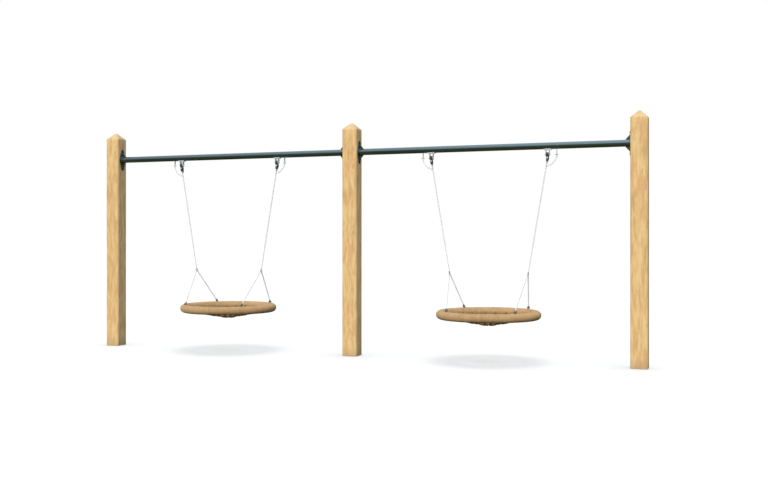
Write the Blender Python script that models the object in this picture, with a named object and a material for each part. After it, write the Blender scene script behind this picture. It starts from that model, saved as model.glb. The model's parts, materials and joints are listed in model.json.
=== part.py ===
"""Double-bay nest swing set: timber posts, steel beams and two basket seats on chains.

Metres, +Z up. The origin is on the ground under the middle post. The beams run along X, and
the baskets swing along Y. Every moving piece hangs from an empty that stands on its joint axis.
"""
import math

import bmesh
import bpy
from mathutils import Matrix, Vector

GAP = 0.0003                    # left between pieces that touch
SHARP_ANGLE = math.radians(32)
COARSE_STEPS, BELT_STEPS, FINE_STEPS = 2, 3, 4      # facets in each arc of a belt outline

# Posts
POST_PITCH = 3.36               # centre to centre
POST_SIDE = 0.185
POST_EASE = 0.010               # chamfer down the four edges
POST_EAVES = 2.725              # where the pyramid top begins
POST_TOP = 2.80
POST_TIP = 0.020                # width of the blunt tip

# Beams: tube, rhombic end plates, gussets and tabs in one weldment
BEAM_Z = 2.45
TUBE_R = 0.03805
TUBE_WALL = 0.0036
TUBE_SIDES = 24
PLATE_THICKNESS = 0.008
PLATE_WAIST_R = 0.062
PLATE_END_R = 0.023
PLATE_BOLT_RISE = 0.115         # bolts above and below the tube's axis
GUSSET_LENGTH = 0.050
GUSSET_HEIGHT = 0.055
GUSSET_LIP = 0.006
GUSSET_THICKNESS = 0.006
TAB_OFFSET = 0.102              # safety chain tab, outboard of its hanger
TAB_THICKNESS = 0.006
TAB_R = 0.013
WELD_DEPTH = 0.003              # how far gussets and tabs run into the tube's wall
PLATE_REACH = 0.030             # half length of the cutter for a bolt hole in an end plate

# Low domed heads on the end plates: screws in the outer posts, through bolts in the middle one
SCREW_R = 0.008
SCREW_DEPTH = 0.130             # of a screw in an outer post
DOME_R = 0.0165
DOME_CROWN_R = 0.009
DOME_EDGE = 0.0015
DOME_HEIGHT = 0.0045

# Bolts, as (shank radius, head corner radius, head height)
PIVOT_BOLT = (0.006, 0.0105, 0.007)
BOLT_SIDES = 12
PIN_SIDES = 8                   # fork pins and their holes

# Hangers: a universal joint that swings about X and sways about Y
HANGER_X = 0.68                 # from the middle of the bay
PIVOT_Z = 2.355
SWAY_DROP = 0.040               # yoke pin below the swing pin
SADDLE_LENGTH = 0.086
SADDLE_WIDTH = 0.040
SADDLE_THICKNESS = 0.0125
SADDLE_WEB = 0.009              # thickness left under the tube
CHEEK_R = 0.022
CHEEK_TOP_DEPTH = 0.0031        # a cheek's top below the saddle's upper face
CHEEK_THICKNESS = 0.006
CHEEK_INSIDE = 0.0165           # inner face from the hanger's middle
BLOCK_HUB_R = 0.0225
BLOCK_HUB_HALF = 0.0155
BLOCK_HUB_SIDES = 12
BLOCK_TAIL_R = 0.014
BLOCK_TAIL_HALF = 0.0145
YOKE_TOP_R = 0.015
YOKE_BOTTOM_R = 0.0095
YOKE_BRIDGE_DROP = 0.034
YOKE_BRIDGE_R = 0.008
YOKE_EYE_ROOT_R = 0.007
YOKE_LEG_INSIDE = 0.0155
YOKE_LEG_THICKNESS = 0.005
YOKE_EYE_DROP = 0.052
YOKE_EYE_R = 0.010
YOKE_EYE_THICKNESS = 0.008

# Chains, each a round run in place of its links
JUNCTION_X = 0.46               # rings where each upper chain splits, from the bay's middle
JUNCTION_Z = 1.01
JUNCTION_RING_R = 0.018
JUNCTION_WIRE_R = 0.004
JUNCTION_CLEAR = 0.029          # from a ring's centre to the end of a chain
CHAIN_R = 0.0045                # a solid run of this radius weighs as much as 5 x 21 mm chain
CHAIN_SIDES = 8
SAFETY_R = 0.0045
SAFETY_SIDES = 6
SAFETY_STEPS = 9
SAFETY_FRONT = 0.021            # the safety chain ends this far in front of the upper chain
SAFETY_JOIN_DROP = 0.098        # where it ends, below the yoke pin
SAFETY_BELLY = (0.022, 0.110)   # where its curve turns: inboard of and below its tab's hole

# Fork shackles on the ends of the chains
FORK_EYE_R = 0.009
FORK_ROOT_R = 0.0085
FORK_LENGTH = 0.030
FORK_HALF_WIDTH = 0.0105
FORK_SLOT_DEPTH = 0.0155
FORK_PIN_R = 0.005
FORK_PIN_HALF = 0.0135

# Baskets
RIM_R = 0.55                    # rim centreline
RIM_Z = 0.536
WRAP_R = 0.050                  # outside of the rope winding
WRAP_SEGMENTS = 36
WRAP_SIDES = 12
CORE_R = 0.0212                 # steel ring inside it
CORE_BORE_R = 0.0180
CORE_SEGMENTS = 28
CORE_SIDES = 8
CORE_BORE_SIDES = 6
CORE_CLEARANCE = 0.0008         # between the steel ring and the winding on it
DRAIN_R = 0.004
LUG_RISE = 0.062                # chain hole above the rim's centreline
LUG_R = 0.012
LUG_ROOT_RISE = 0.012
LUG_ROOT_R = 0.014
LUG_THICKNESS = 0.008
LUG_SLOT_WIDTH = 0.030
NET_CENTRE_Z = 0.430
NET_THICKNESS = 0.014
NET_CLEARANCE = 0.0006          # between the net and the ring in its middle
NET_CURVE = 1.6                 # power of the net's sag towards the middle
NET_SEGMENTS = 28
NET_RINGS = 5
CENTRE_RING_R = 0.046
CENTRE_WIRE_R = 0.009
CENTRE_SEGMENTS = 16
SMALL_RING_SIDES = 6

BAYS = {"left": -1, "right": 1}
SIDES = {"left": -1, "right": 1}
CORNERS = {"front": -1, "back": 1}

# name: (colour, roughness, metallic)
FINISHES = {
    "timber": ((0.77, 0.51, 0.23), 0.65, 0.0),
    "beam_paint": ((0.18, 0.21, 0.24), 0.30, 0.9),
    "zinc": ((0.74, 0.73, 0.71), 0.40, 0.4),
    "dark_steel": ((0.10, 0.11, 0.11), 0.45, 0.9),
    "bearing_green": ((0.05, 0.07, 0.065), 0.45, 0.3),
    "grey_casting": ((0.18, 0.19, 0.19), 0.50, 0.8),
    "rope": ((0.53, 0.34, 0.16), 0.85, 0.0),
}


# ---------------------------------------------------------------- scene and materials

def clear_scene():
    for item in list(bpy.data.objects):
        bpy.data.objects.remove(item, do_unlink=True)


def make_materials():
    made = {}
    for name, (colour, roughness, metallic) in FINISHES.items():
        material = bpy.data.materials.new(name)
        material.use_nodes = True
        shader = material.node_tree.nodes["Principled BSDF"]
        shader.inputs["Base Color"].default_value = (*colour, 1.0)
        shader.inputs["Roughness"].default_value = roughness
        shader.inputs["Metallic"].default_value = metallic
        made[name] = material
    return made


def empty(name, location, parent=None):
    """A joint axis or a group's centre, placed in its parent's frame."""
    marker = bpy.data.objects.new(name, None)
    marker.location = location
    marker.parent = parent
    bpy.context.scene.collection.objects.link(marker)
    return marker


# ---------------------------------------------------------------- outlines and solids

def on_axis(axis, distance, u, v):
    """The point at (u, v) in the plane across an axis, at a distance along it."""
    if axis == "X":
        return Vector((distance, u, v))
    if axis == "Y":
        return Vector((u, distance, v))
    return Vector((u, v, distance))


def circle(radius, sides, centre=(0.0, 0.0)):
    turn = 2 * math.pi / sides
    return [
        (centre[0] + radius * math.cos(i * turn), centre[1] + radius * math.sin(i * turn))
        for i in range(sides)
    ]


def hexagon(corner_radius):
    """A hexagon of 12 points, its corners and the middles of its sides."""
    flat = corner_radius * math.cos(math.pi / 6)
    points = []
    for i in range(BOLT_SIDES):
        radius = corner_radius if i % 2 == 0 else flat
        angle = i * 2 * math.pi / BOLT_SIDES
        points.append((radius * math.cos(angle), radius * math.sin(angle)))
    return points


def belt(circles, steps=BELT_STEPS):
    """The outline of a belt round circles (v, radius) in a row up the v axis."""
    tangents = [-math.pi / 2]
    for (low_v, low_r), (high_v, high_r) in zip(circles, circles[1:]):
        tangents.append(math.asin((low_r - high_r) / (high_v - low_v)))
    tangents.append(math.pi / 2)
    right = []
    for (v, radius), start, end in zip(circles, tangents, tangents[1:]):
        for i in range(steps + 1):
            angle = start + (end - start) * i / steps
            right.append((radius * math.cos(angle), v + radius * math.sin(angle)))
    left = [(-u, v) for u, v in reversed(right[1:-1])]
    return right + left


def loft(rings, closed=False):
    """A mesh over rings of points. The ends are capped, or joined to each other if closed."""
    mesh_data = bmesh.new()
    loops = [[mesh_data.verts.new(point) for point in ring] for ring in rings]
    pairs = list(zip(loops, loops[1:]))
    if closed:
        pairs.append((loops[-1], loops[0]))
    else:
        mesh_data.faces.new(list(reversed(loops[0])))
        mesh_data.faces.new(loops[-1])
    for first, second in pairs:
        for i in range(len(first)):
            j = (i + 1) % len(first)
            mesh_data.faces.new((first[i], first[j], second[j], second[i]))
    bmesh.ops.recalc_face_normals(mesh_data, faces=mesh_data.faces)
    mesh = bpy.data.meshes.new("mesh")
    mesh_data.to_mesh(mesh)
    mesh_data.free()
    return mesh


def finish(name, mesh, material):
    mesh.name = name
    mesh.materials.append(material)
    mesh.shade_smooth()
    mesh.set_sharp_from_angle(angle=SHARP_ANGLE)


def make(name, mesh, material, parent=None, location=(0, 0, 0)):
    finish(name, mesh, material)
    piece = bpy.data.objects.new(name, mesh)
    piece.location = location
    piece.parent = parent
    bpy.context.scene.collection.objects.link(piece)
    return piece


def stack(sections, axis):
    """A mesh over outlines stacked up an axis, as (distance, outline)."""
    return loft([[on_axis(axis, at, u, v) for u, v in outline] for at, outline in sections])


def prism(outline, low, high, axis):
    return stack([(low, outline), (high, outline)], axis)


def plate(outline, thickness, axis, middle=0.0):
    return prism(outline, middle - thickness / 2, middle + thickness / 2, axis)


def rod(radius, low, high, axis, sides=BOLT_SIDES, centre=(0.0, 0.0)):
    return prism(circle(radius, sides, centre), low, high, axis)


def box(low, high):
    corners = [(low[0], low[1]), (high[0], low[1]), (high[0], high[1]), (low[0], high[1])]
    return prism(corners, low[2], high[2], "Z")


def torus(ring_radius, wire_radius, segments, sides, axis="Z"):
    rings = []
    for i in range(segments):
        angle = 2 * math.pi * i / segments
        ring = []
        for u, v in circle(wire_radius, sides):
            radius = ring_radius + u
            ring.append(on_axis(axis, v, radius * math.cos(angle), radius * math.sin(angle)))
        rings.append(ring)
    return loft(rings, closed=True)


def sweep(points, radius, sides):
    """A round run through points that lie near one plane across Y."""
    rings = []
    for i, point in enumerate(points):
        ahead = points[min(i + 1, len(points) - 1)] - points[max(i - 1, 0)]
        side = ahead.cross(Vector((0, 1, 0))).normalized()
        up = side.cross(ahead).normalized()
        rings.append([point + side * u + up * v for u, v in circle(radius, sides)])
    return loft(rings)


def combine(piece, tool_mesh, operation, matrix=None):
    """Join a mesh to a piece, or cut it out of it. The mesh is in the piece's own frame."""
    if matrix is not None:
        tool_mesh.transform(matrix)
    tool = bpy.data.objects.new("tool", tool_mesh)
    blank = bpy.data.objects.new("blank", piece.data)
    for item in (tool, blank):
        bpy.context.scene.collection.objects.link(item)
    modifier = blank.modifiers.new("combine", "BOOLEAN")
    modifier.operation = operation
    modifier.object = tool
    evaluated = blank.evaluated_get(bpy.context.evaluated_depsgraph_get())
    result = bpy.data.meshes.new_from_object(evaluated)
    for item in (tool, blank):
        bpy.data.objects.remove(item)
    material = piece.data.materials[0]
    result.materials.clear()
    finish(piece.name, result, material)
    piece.data = result


def join(piece, mesh, matrix=None):
    combine(piece, mesh, "UNION", matrix)


def cut(piece, mesh, matrix=None):
    combine(piece, mesh, "DIFFERENCE", matrix)


def hole_radius(shank_radius, sides=BOLT_SIDES):
    """A faceted hole whose flats stay clear of a shank."""
    return (shank_radius + GAP) / math.cos(math.pi / sides)


def pin_hole(low, high, axis, v):
    """The cutter for a fork pin's hole."""
    return rod(hole_radius(FORK_PIN_R, PIN_SIDES), low, high, axis, PIN_SIDES, (0, v))


def bolt(name, size, half_grip, axis, material, parent=None, location=(0, 0, 0)):
    """A bolt with its nut."""
    shank_r, corner_r, head = size
    shank = circle(shank_r, BOLT_SIDES)
    cap = hexagon(corner_r)
    seat = half_grip + GAP
    end = [(seat, cap), (seat + head, cap)]
    start = [(-at, outline) for at, outline in reversed(end)]
    sections = start + [(-seat, shank), (seat, shank)] + end
    return make(name, stack(sections, axis), material, parent, location)


# ---------------------------------------------------------------- posts, beams and their bolts

def post_outline(side):
    half = side / 2
    ease = POST_EASE * side / POST_SIDE
    inner = half - ease
    return [
        (half, -inner), (half, inner), (inner, half), (-inner, half),
        (-half, inner), (-half, -inner), (-inner, -half), (inner, -half),
    ]


def make_post(name, x, plates, material):
    """A post with a pair of holes, drilled in from each side (-1 or 1) that has a plate."""
    body = post_outline(POST_SIDE)
    sections = [(0.0, body), (POST_EAVES, body), (POST_TOP, post_outline(POST_TIP))]
    post = make(name, stack(sections, "Z"), material, location=(x, 0, 0))
    radius = hole_radius(SCREW_R)
    blind = SCREW_DEPTH - POST_SIDE / 2 + GAP
    low = -POST_SIDE if -1 in plates else -blind
    high = POST_SIDE if 1 in plates else blind
    for rise in (-PLATE_BOLT_RISE, PLATE_BOLT_RISE):
        cut(post, rod(radius, low, high, "X", centre=(0, BEAM_Z + rise)))
    return post


def make_post_bolts(name, x, plates, material):
    """Two fasteners in a post: a domed head on each side with a plate, a plain end on the other."""
    seat = POST_SIDE / 2 + GAP + PLATE_THICKNESS + GAP
    shank = circle(SCREW_R, BOLT_SIDES)
    rim = circle(DOME_R, BOLT_SIDES)
    crown = circle(DOME_CROWN_R, BOLT_SIDES)
    head = [(seat, shank), (seat, rim), (seat + DOME_EDGE, rim), (seat + DOME_HEIGHT, crown)]
    bare = [(SCREW_DEPTH - POST_SIDE / 2, shank)]
    low, high = (head if side in plates else bare for side in (-1, 1))
    sections = [(-at, outline) for at, outline in reversed(low)] + high
    for level, rise in (("lower", -PLATE_BOLT_RISE), ("upper", PLATE_BOLT_RISE)):
        make(f"{name}_{level}", stack(sections, "X"), material, location=(x, 0, BEAM_Z + rise))


def gusset_outline(direction):
    """Triangle with a blunt toe, from the plate (u = 0) out along the tube."""
    foot = TUBE_R - WELD_DEPTH
    return [
        (0.0, direction * foot),
        (GUSSET_LENGTH, direction * foot),
        (GUSSET_LENGTH, direction * (TUBE_R + GUSSET_LIP)),
        (GUSSET_LIP, direction * (TUBE_R + GUSSET_HEIGHT)),
        (0.0, direction * (TUBE_R + GUSSET_HEIGHT)),
    ]


def join_beam_end(beam, end, outer):
    """Weld a plate and two gussets to the end (-1 or 1) whose outer face is at x = outer."""
    waist = [(-PLATE_BOLT_RISE, PLATE_END_R), (0, PLATE_WAIST_R), (PLATE_BOLT_RISE, PLATE_END_R)]
    middle = outer - end * PLATE_THICKNESS / 2
    join(beam, plate(belt(waist, steps=FINE_STEPS), PLATE_THICKNESS, "X", middle))
    for direction in (-1, 1):
        outline = [(middle - end * u, v) for u, v in gusset_outline(direction)]
        join(beam, plate(outline, GUSSET_THICKNESS, "Y"))
        rise = direction * PLATE_BOLT_RISE
        radius = hole_radius(SCREW_R)
        cut(beam, rod(radius, outer - PLATE_REACH, outer + PLATE_REACH, "X", centre=(0, rise)))


def join_tab(beam, x):
    """A tab under the tube with a hole on the swing axis."""
    hole_z = PIVOT_Z - BEAM_Z
    outline = belt([(hole_z, TAB_R), (WELD_DEPTH - TUBE_R, TAB_R)], steps=FINE_STEPS)
    join(beam, plate(outline, TAB_THICKNESS, "X", x))
    reach = 2 * TAB_THICKNESS
    cut(beam, pin_hole(x - reach, x + reach, "X", hole_z))


def make_beam(name, bay_x, material):
    outer = POST_PITCH / 2 - POST_SIDE / 2 - GAP
    tube_end = outer - PLATE_THICKNESS / 2
    tube = rod(TUBE_R, -tube_end, tube_end, "X", TUBE_SIDES)
    beam = make(name, tube, material, location=(bay_x, 0, BEAM_Z))
    for end in (-1, 1):
        join_beam_end(beam, end, end * outer)
        join_tab(beam, end * (HANGER_X + TAB_OFFSET))
    past = outer + PLATE_THICKNESS
    cut(beam, rod(TUBE_R - TUBE_WALL, -past, past, "X", TUBE_SIDES))
    return beam


# ---------------------------------------------------------------- hangers

def make_bracket(name, material, parent, location):
    """A saddle that hugs the tube, and two cheeks that carry the swing pin."""
    tube_low = BEAM_Z - TUBE_R - PIVOT_Z
    floor = tube_low - SADDLE_WEB
    half_length, half_width = SADDLE_LENGTH / 2, SADDLE_WIDTH / 2
    saddle = box((-half_length, -half_width, floor), (half_length, half_width, floor + SADDLE_THICKNESS))
    bracket = make(name, saddle, material, parent, location)
    cheek_top = floor + SADDLE_THICKNESS - CHEEK_TOP_DEPTH
    cheek = [(0, CHEEK_R), (cheek_top - CHEEK_R, CHEEK_R)]
    for side in (-1, 1):
        middle = side * (CHEEK_INSIDE + CHEEK_THICKNESS / 2)
        join(bracket, plate(belt(cheek), CHEEK_THICKNESS, "X", middle))
    reach = CHEEK_INSIDE + 2 * CHEEK_THICKNESS
    cut(bracket, rod(hole_radius(PIVOT_BOLT[0]), -reach, reach, "X"))
    seat_r = hole_radius(TUBE_R, TUBE_SIDES)
    cut(bracket, rod(seat_r, -SADDLE_LENGTH, SADDLE_LENGTH, "X", TUBE_SIDES, (0, BEAM_Z - PIVOT_Z)))
    return bracket


def make_block(name, material, parent, location):
    """A hub on the swing pin, with a tail below it that carries the yoke pin."""
    hub = rod(BLOCK_HUB_R, -BLOCK_HUB_HALF, BLOCK_HUB_HALF, "X", BLOCK_HUB_SIDES)
    block = make(name, hub, material, parent, location)
    tail = belt([(-SWAY_DROP, BLOCK_TAIL_R), (0, BLOCK_TAIL_R)])
    join(block, prism(tail, -BLOCK_TAIL_HALF, BLOCK_TAIL_HALF, "Y"))
    radius = hole_radius(PIVOT_BOLT[0])
    reach = 2 * BLOCK_HUB_HALF
    cut(block, rod(radius, -reach, reach, "X"))
    cut(block, rod(radius, -reach, reach, "Y", centre=(0, -SWAY_DROP)))
    return block


def make_yoke(name, material, parent, lean):
    """Two tapered legs joined by a round bridge, with an eye plate under it for the chain."""
    leg = belt([(-YOKE_BRIDGE_DROP, YOKE_BOTTOM_R), (0, YOKE_TOP_R)])
    leg_middle = YOKE_LEG_INSIDE + YOKE_LEG_THICKNESS / 2
    bridge = rod(YOKE_BRIDGE_R, -leg_middle, leg_middle, "Y", centre=(0, -YOKE_BRIDGE_DROP))
    yoke = make(name, bridge, material, parent)
    for side in (-1, 1):
        join(yoke, plate(leg, YOKE_LEG_THICKNESS, "Y", side * leg_middle))
    eye = belt([(-YOKE_EYE_DROP, YOKE_EYE_R), (-YOKE_BRIDGE_DROP, YOKE_EYE_ROOT_R)])
    join(yoke, plate(eye, YOKE_EYE_THICKNESS, "Y"))
    reach = 2 * leg_middle
    cut(yoke, rod(hole_radius(PIVOT_BOLT[0]), -reach, reach, "Y"))
    cut(yoke, pin_hole(-reach, reach, "Y", -YOKE_EYE_DROP))
    yoke.rotation_euler = (0, lean, 0)
    return yoke


# ---------------------------------------------------------------- chains

def join_fork(chain, eye_z, direction, pin_axis, held_thickness):
    """A fork shackle round a held plate. It runs from its eye in a direction (-1 or 1) along Z."""
    ends = [(eye_z, FORK_EYE_R), (eye_z + direction * FORK_LENGTH, FORK_ROOT_R)]
    outline = belt(sorted(ends), steps=COARSE_STEPS)
    join(chain, prism(outline, -FORK_HALF_WIDTH, FORK_HALF_WIDTH, pin_axis))
    slot_half = held_thickness / 2 + GAP
    past = 2 * FORK_EYE_R
    slot_z = sorted((eye_z + direction * FORK_SLOT_DEPTH, eye_z - direction * past))
    slot = [(-past, slot_z[0]), (past, slot_z[0]), (past, slot_z[1]), (-past, slot_z[1])]
    cut(chain, prism(slot, -slot_half, slot_half, pin_axis))
    pin = rod(FORK_PIN_R, -FORK_PIN_HALF, FORK_PIN_HALF, pin_axis, PIN_SIDES, (0, eye_z))
    join(chain, pin)


def make_upper_chain(name, material, parent, lean, length):
    """From the yoke's eye to the junction ring, hanging down its own -Z from the yoke pin."""
    start = YOKE_EYE_DROP + FORK_LENGTH - FORK_ROOT_R / 2
    run = rod(CHAIN_R, -(length - JUNCTION_CLEAR), -start, "Z", CHAIN_SIDES)
    chain = make(name, run, material, parent)
    join_fork(chain, -YOKE_EYE_DROP, -1, "Y", YOKE_EYE_THICKNESS)
    chain.rotation_euler = (0, lean, 0)
    return chain


def make_lower_chain(name, material, parent, location, drop):
    """From the junction ring to a rim lug. drop is the vector from the ring to the lug's hole."""
    end = drop.length - FORK_LENGTH + FORK_ROOT_R / 2
    run = rod(CHAIN_R, -end, -JUNCTION_CLEAR, "Z", CHAIN_SIDES)
    chain = make(name, run, material, parent, location)
    join_fork(chain, -drop.length, 1, "X", LUG_THICKNESS)
    chain.rotation_euler = drop.to_track_quat("-Z", "Y").to_euler()
    return chain


def make_safety_chain(name, material, parent, side, lean):
    """A slack chain from its tab to a point in front of the upper chain, just under the yoke."""
    start = Vector((0, 0, -(FORK_LENGTH - FORK_ROOT_R / 2)))
    turn = Vector((-side * SAFETY_BELLY[0], 0, -SAFETY_BELLY[1]))
    inboard = TAB_OFFSET + SAFETY_JOIN_DROP * math.tan(lean)
    stop = Vector((-side * inboard, -SAFETY_FRONT, -SWAY_DROP - SAFETY_JOIN_DROP))
    points = []
    for i in range(SAFETY_STEPS + 1):
        t = i / SAFETY_STEPS
        points.append(start * (1 - t) ** 2 + turn * 2 * t * (1 - t) + stop * t ** 2)
    location = (side * (HANGER_X + TAB_OFFSET), 0, 0)
    chain = make(name, sweep(points, SAFETY_R, SAFETY_SIDES), material, parent, location)
    join_fork(chain, 0.0, -1, "X", TAB_THICKNESS)
    return chain


# ---------------------------------------------------------------- baskets

def lug_places():
    """Each corner's name with its lug's place on the rim, turned to face its chain."""
    reach = RIM_R * math.sqrt(0.5)
    for side_name, side in SIDES.items():
        for corner_name, corner in CORNERS.items():
            foot = Vector((side * reach, corner * reach, 0))
            drop = foot + Vector((-side * JUNCTION_X, 0, RIM_Z + LUG_RISE - JUNCTION_Z))
            facing = math.atan2(drop.y, drop.x) - math.pi / 2
            matrix = Matrix.Translation(foot) @ Matrix.Rotation(facing, 4, "Z")
            yield side_name, corner_name, drop, matrix


def make_core(name, material, parent, location):
    """A steel tube bent into a ring, with four eye lugs and a drain hole."""
    core = make(name, torus(RIM_R, CORE_R, CORE_SEGMENTS, CORE_SIDES), material, parent, location)
    outline = belt([(LUG_ROOT_RISE, LUG_ROOT_R), (LUG_RISE, LUG_R)])
    for _, _, _, matrix in lug_places():
        join(core, plate(outline, LUG_THICKNESS, "X"), matrix)
        cut(core, pin_hole(-LUG_THICKNESS, LUG_THICKNESS, "X", LUG_RISE), matrix)
    cut(core, torus(RIM_R, CORE_BORE_R, CORE_SEGMENTS, CORE_BORE_SIDES))
    cut(core, rod(DRAIN_R, -2 * CORE_R, 0, "Z", centre=(RIM_R, 0)))
    return core


def make_winding(name, material, parent, location):
    """The rope wound round the steel ring, as one skin with a slot at each lug."""
    outside = torus(RIM_R, WRAP_R, WRAP_SEGMENTS, WRAP_SIDES)
    winding = make(name, outside, material, parent, location)
    bore_r = CORE_R + CORE_CLEARANCE
    cut(winding, torus(RIM_R, bore_r, CORE_SEGMENTS, CORE_SIDES))
    half_slot = (LUG_THICKNESS / 2 + CORE_CLEARANCE, LUG_SLOT_WIDTH / 2)
    for _, _, _, matrix in lug_places():
        slot = box((-half_slot[0], -half_slot[1], 0), (half_slot[0], half_slot[1], 2 * WRAP_R))
        cut(winding, slot, matrix)
    return winding


def make_net(name, material, parent, location):
    """The rope net as a dished shell, open in the middle where its ropes meet a ring."""
    inner = (CENTRE_RING_R + CENTRE_WIRE_R + NET_CLEARANCE) / math.cos(math.pi / NET_SEGMENTS)
    outer = (RIM_R - WRAP_R) * math.cos(math.pi / WRAP_SEGMENTS) - GAP
    sag = NET_CENTRE_Z - RIM_Z
    profile = []
    for i in range(NET_RINGS):
        radius = inner + (outer - inner) * i / (NET_RINGS - 1)
        profile.append((radius, sag * (1 - (radius / outer) ** NET_CURVE)))
    top = [(radius, z + NET_THICKNESS / 2) for radius, z in profile]
    bottom = [(radius, z - NET_THICKNESS / 2) for radius, z in reversed(profile)]
    rings = []
    for i in range(NET_SEGMENTS):
        angle = 2 * math.pi * i / NET_SEGMENTS
        across = Vector((math.cos(angle), math.sin(angle), 0))
        rings.append([across * radius + Vector((0, 0, z)) for radius, z in top + bottom])
    return make(name, loft(rings, closed=True), material, parent, location)


def make_centre_ring(name, material, parent, location):
    ring = torus(CENTRE_RING_R, CENTRE_WIRE_R, CENTRE_SEGMENTS, SMALL_RING_SIDES)
    return make(name, ring, material, parent, location)


# ---------------------------------------------------------------- assembly

def make_hanger(seat, side_name, bay, swing_axis, materials):
    """One hanger with its chains. Returns the empty on its sway axis."""
    side = SIDES[side_name]
    drop = PIVOT_Z - SWAY_DROP - JUNCTION_Z
    angle = math.atan2(HANGER_X - JUNCTION_X, drop)
    lean = side * angle
    above = (side * HANGER_X, 0, PIVOT_Z)
    make_bracket(f"{seat}_bracket_{side_name}", materials["zinc"], bay, above)
    cheeks = CHEEK_INSIDE + CHEEK_THICKNESS
    bolt(f"{seat}_swing_pin_{side_name}", PIVOT_BOLT, cheeks, "X", materials["zinc"], bay, above)

    middle = (side * HANGER_X, 0, 0)
    block = materials["bearing_green"]
    make_block(f"{seat}_bearing_block_{side_name}", block, swing_axis, middle)
    sway_axis = empty(f"{seat}_sway_axis_{side_name}", (middle[0], 0, -SWAY_DROP), swing_axis)
    legs = YOKE_LEG_INSIDE + YOKE_LEG_THICKNESS
    bolt(f"{seat}_yoke_pin_{side_name}", PIVOT_BOLT, legs, "Y", materials["zinc"], sway_axis)
    make_yoke(f"{seat}_yoke_{side_name}", materials["grey_casting"], sway_axis, lean)
    length = math.hypot(HANGER_X - JUNCTION_X, drop)
    make_upper_chain(f"{seat}_upper_chain_{side_name}", materials["zinc"], sway_axis, lean, length)
    safety = f"{seat}_safety_chain_{side_name}"
    make_safety_chain(safety, materials["zinc"], swing_axis, side, angle)
    return sway_axis


def make_junction_ring(seat, side_name, parent, location, materials):
    ring = torus(JUNCTION_RING_R, JUNCTION_WIRE_R, CENTRE_SEGMENTS, SMALL_RING_SIDES, "X")
    return make(f"{seat}_junction_ring_{side_name}", ring, materials["zinc"], parent, location)


def make_basket(seat, rock_axis, materials):
    """Everything that rocks as one below the junction rings."""
    for side_name, corner_name, drop, _ in lug_places():
        name = f"{seat}_lower_chain_{corner_name}_{side_name}"
        place = (SIDES[side_name] * JUNCTION_X, 0, 0)
        make_lower_chain(name, materials["zinc"], rock_axis, place, drop)
    rim = (0, 0, RIM_Z - JUNCTION_Z)
    make_core(f"{seat}_rim_core", materials["zinc"], rock_axis, rim)
    make_winding(f"{seat}_rim_winding", materials["rope"], rock_axis, rim)
    make_net(f"{seat}_net", materials["rope"], rock_axis, rim)
    centre = (0, 0, NET_CENTRE_Z - JUNCTION_Z)
    make_centre_ring(f"{seat}_net_centre_ring", materials["dark_steel"], rock_axis, centre)


def make_seat(seat, bay_x, materials):
    bay = empty(f"{seat}_bay", (bay_x, 0, 0))
    swing_axis = empty(f"{seat}_swing_axis", (0, 0, PIVOT_Z), bay)
    sway_axes = {side: make_hanger(seat, side, bay, swing_axis, materials) for side in SIDES}
    down = JUNCTION_Z - PIVOT_Z + SWAY_DROP
    tilt_axis = empty(f"{seat}_tilt_axis", (HANGER_X - JUNCTION_X, 0, down), sway_axes["left"])
    make_junction_ring(seat, "left", tilt_axis, (0, 0, 0), materials)
    rock_axis = empty(f"{seat}_rock_axis", (JUNCTION_X, 0, 0), tilt_axis)
    make_junction_ring(seat, "right", rock_axis, (JUNCTION_X, 0, 0), materials)
    make_basket(seat, rock_axis, materials)


def make_frame(materials):
    posts = {"left": (-POST_PITCH, (1,)), "middle": (0.0, (-1, 1)), "right": (POST_PITCH, (-1,))}
    for name, (x, plates) in posts.items():
        make_post(f"post_{name}", x, plates, materials["timber"])
        make_post_bolts(f"bolt_{name}", x, plates, materials["dark_steel"])
    for name, side in BAYS.items():
        make_beam(f"beam_{name}", side * POST_PITCH / 2, materials["beam_paint"])


def main():
    clear_scene()
    materials = make_materials()
    make_frame(materials)
    for name, side in BAYS.items():
        make_seat(f"{name}_seat", side * POST_PITCH / 2, materials)


main()
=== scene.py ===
"""Looks for the two-bay nest swing set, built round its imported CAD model.

Metres, +Z up, in the CAD's own frame. Joints and the CAD's boxes give every position. Each
visible piece is a detailed mesh that stands for the CAD node of the same place.
"""

import json
import math

import bpy
import numpy as np
from mathutils import Matrix, Vector


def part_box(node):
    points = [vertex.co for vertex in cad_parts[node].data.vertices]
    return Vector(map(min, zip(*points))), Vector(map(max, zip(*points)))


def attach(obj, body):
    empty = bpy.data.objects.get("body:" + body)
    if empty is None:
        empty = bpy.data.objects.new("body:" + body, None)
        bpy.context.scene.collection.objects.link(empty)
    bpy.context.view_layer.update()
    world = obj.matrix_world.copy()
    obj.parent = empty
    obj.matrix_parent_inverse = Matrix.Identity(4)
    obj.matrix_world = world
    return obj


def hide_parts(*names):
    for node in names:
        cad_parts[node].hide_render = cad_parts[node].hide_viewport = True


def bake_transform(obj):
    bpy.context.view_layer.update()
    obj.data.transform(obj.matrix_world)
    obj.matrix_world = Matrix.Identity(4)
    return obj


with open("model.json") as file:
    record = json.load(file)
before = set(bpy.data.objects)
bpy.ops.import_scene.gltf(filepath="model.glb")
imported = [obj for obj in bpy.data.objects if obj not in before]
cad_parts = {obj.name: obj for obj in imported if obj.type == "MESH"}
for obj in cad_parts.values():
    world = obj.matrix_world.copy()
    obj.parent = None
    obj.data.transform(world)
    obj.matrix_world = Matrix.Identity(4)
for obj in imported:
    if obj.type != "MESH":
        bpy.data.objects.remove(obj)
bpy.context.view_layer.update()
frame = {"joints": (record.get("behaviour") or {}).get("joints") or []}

SEED = 11
SIDES = {"left": -1, "right": 1}
CORNERS = {"front": -1, "back": 1}
SEATS = ("left_seat", "right_seat")
BEAMS = ("left", "right")
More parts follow.
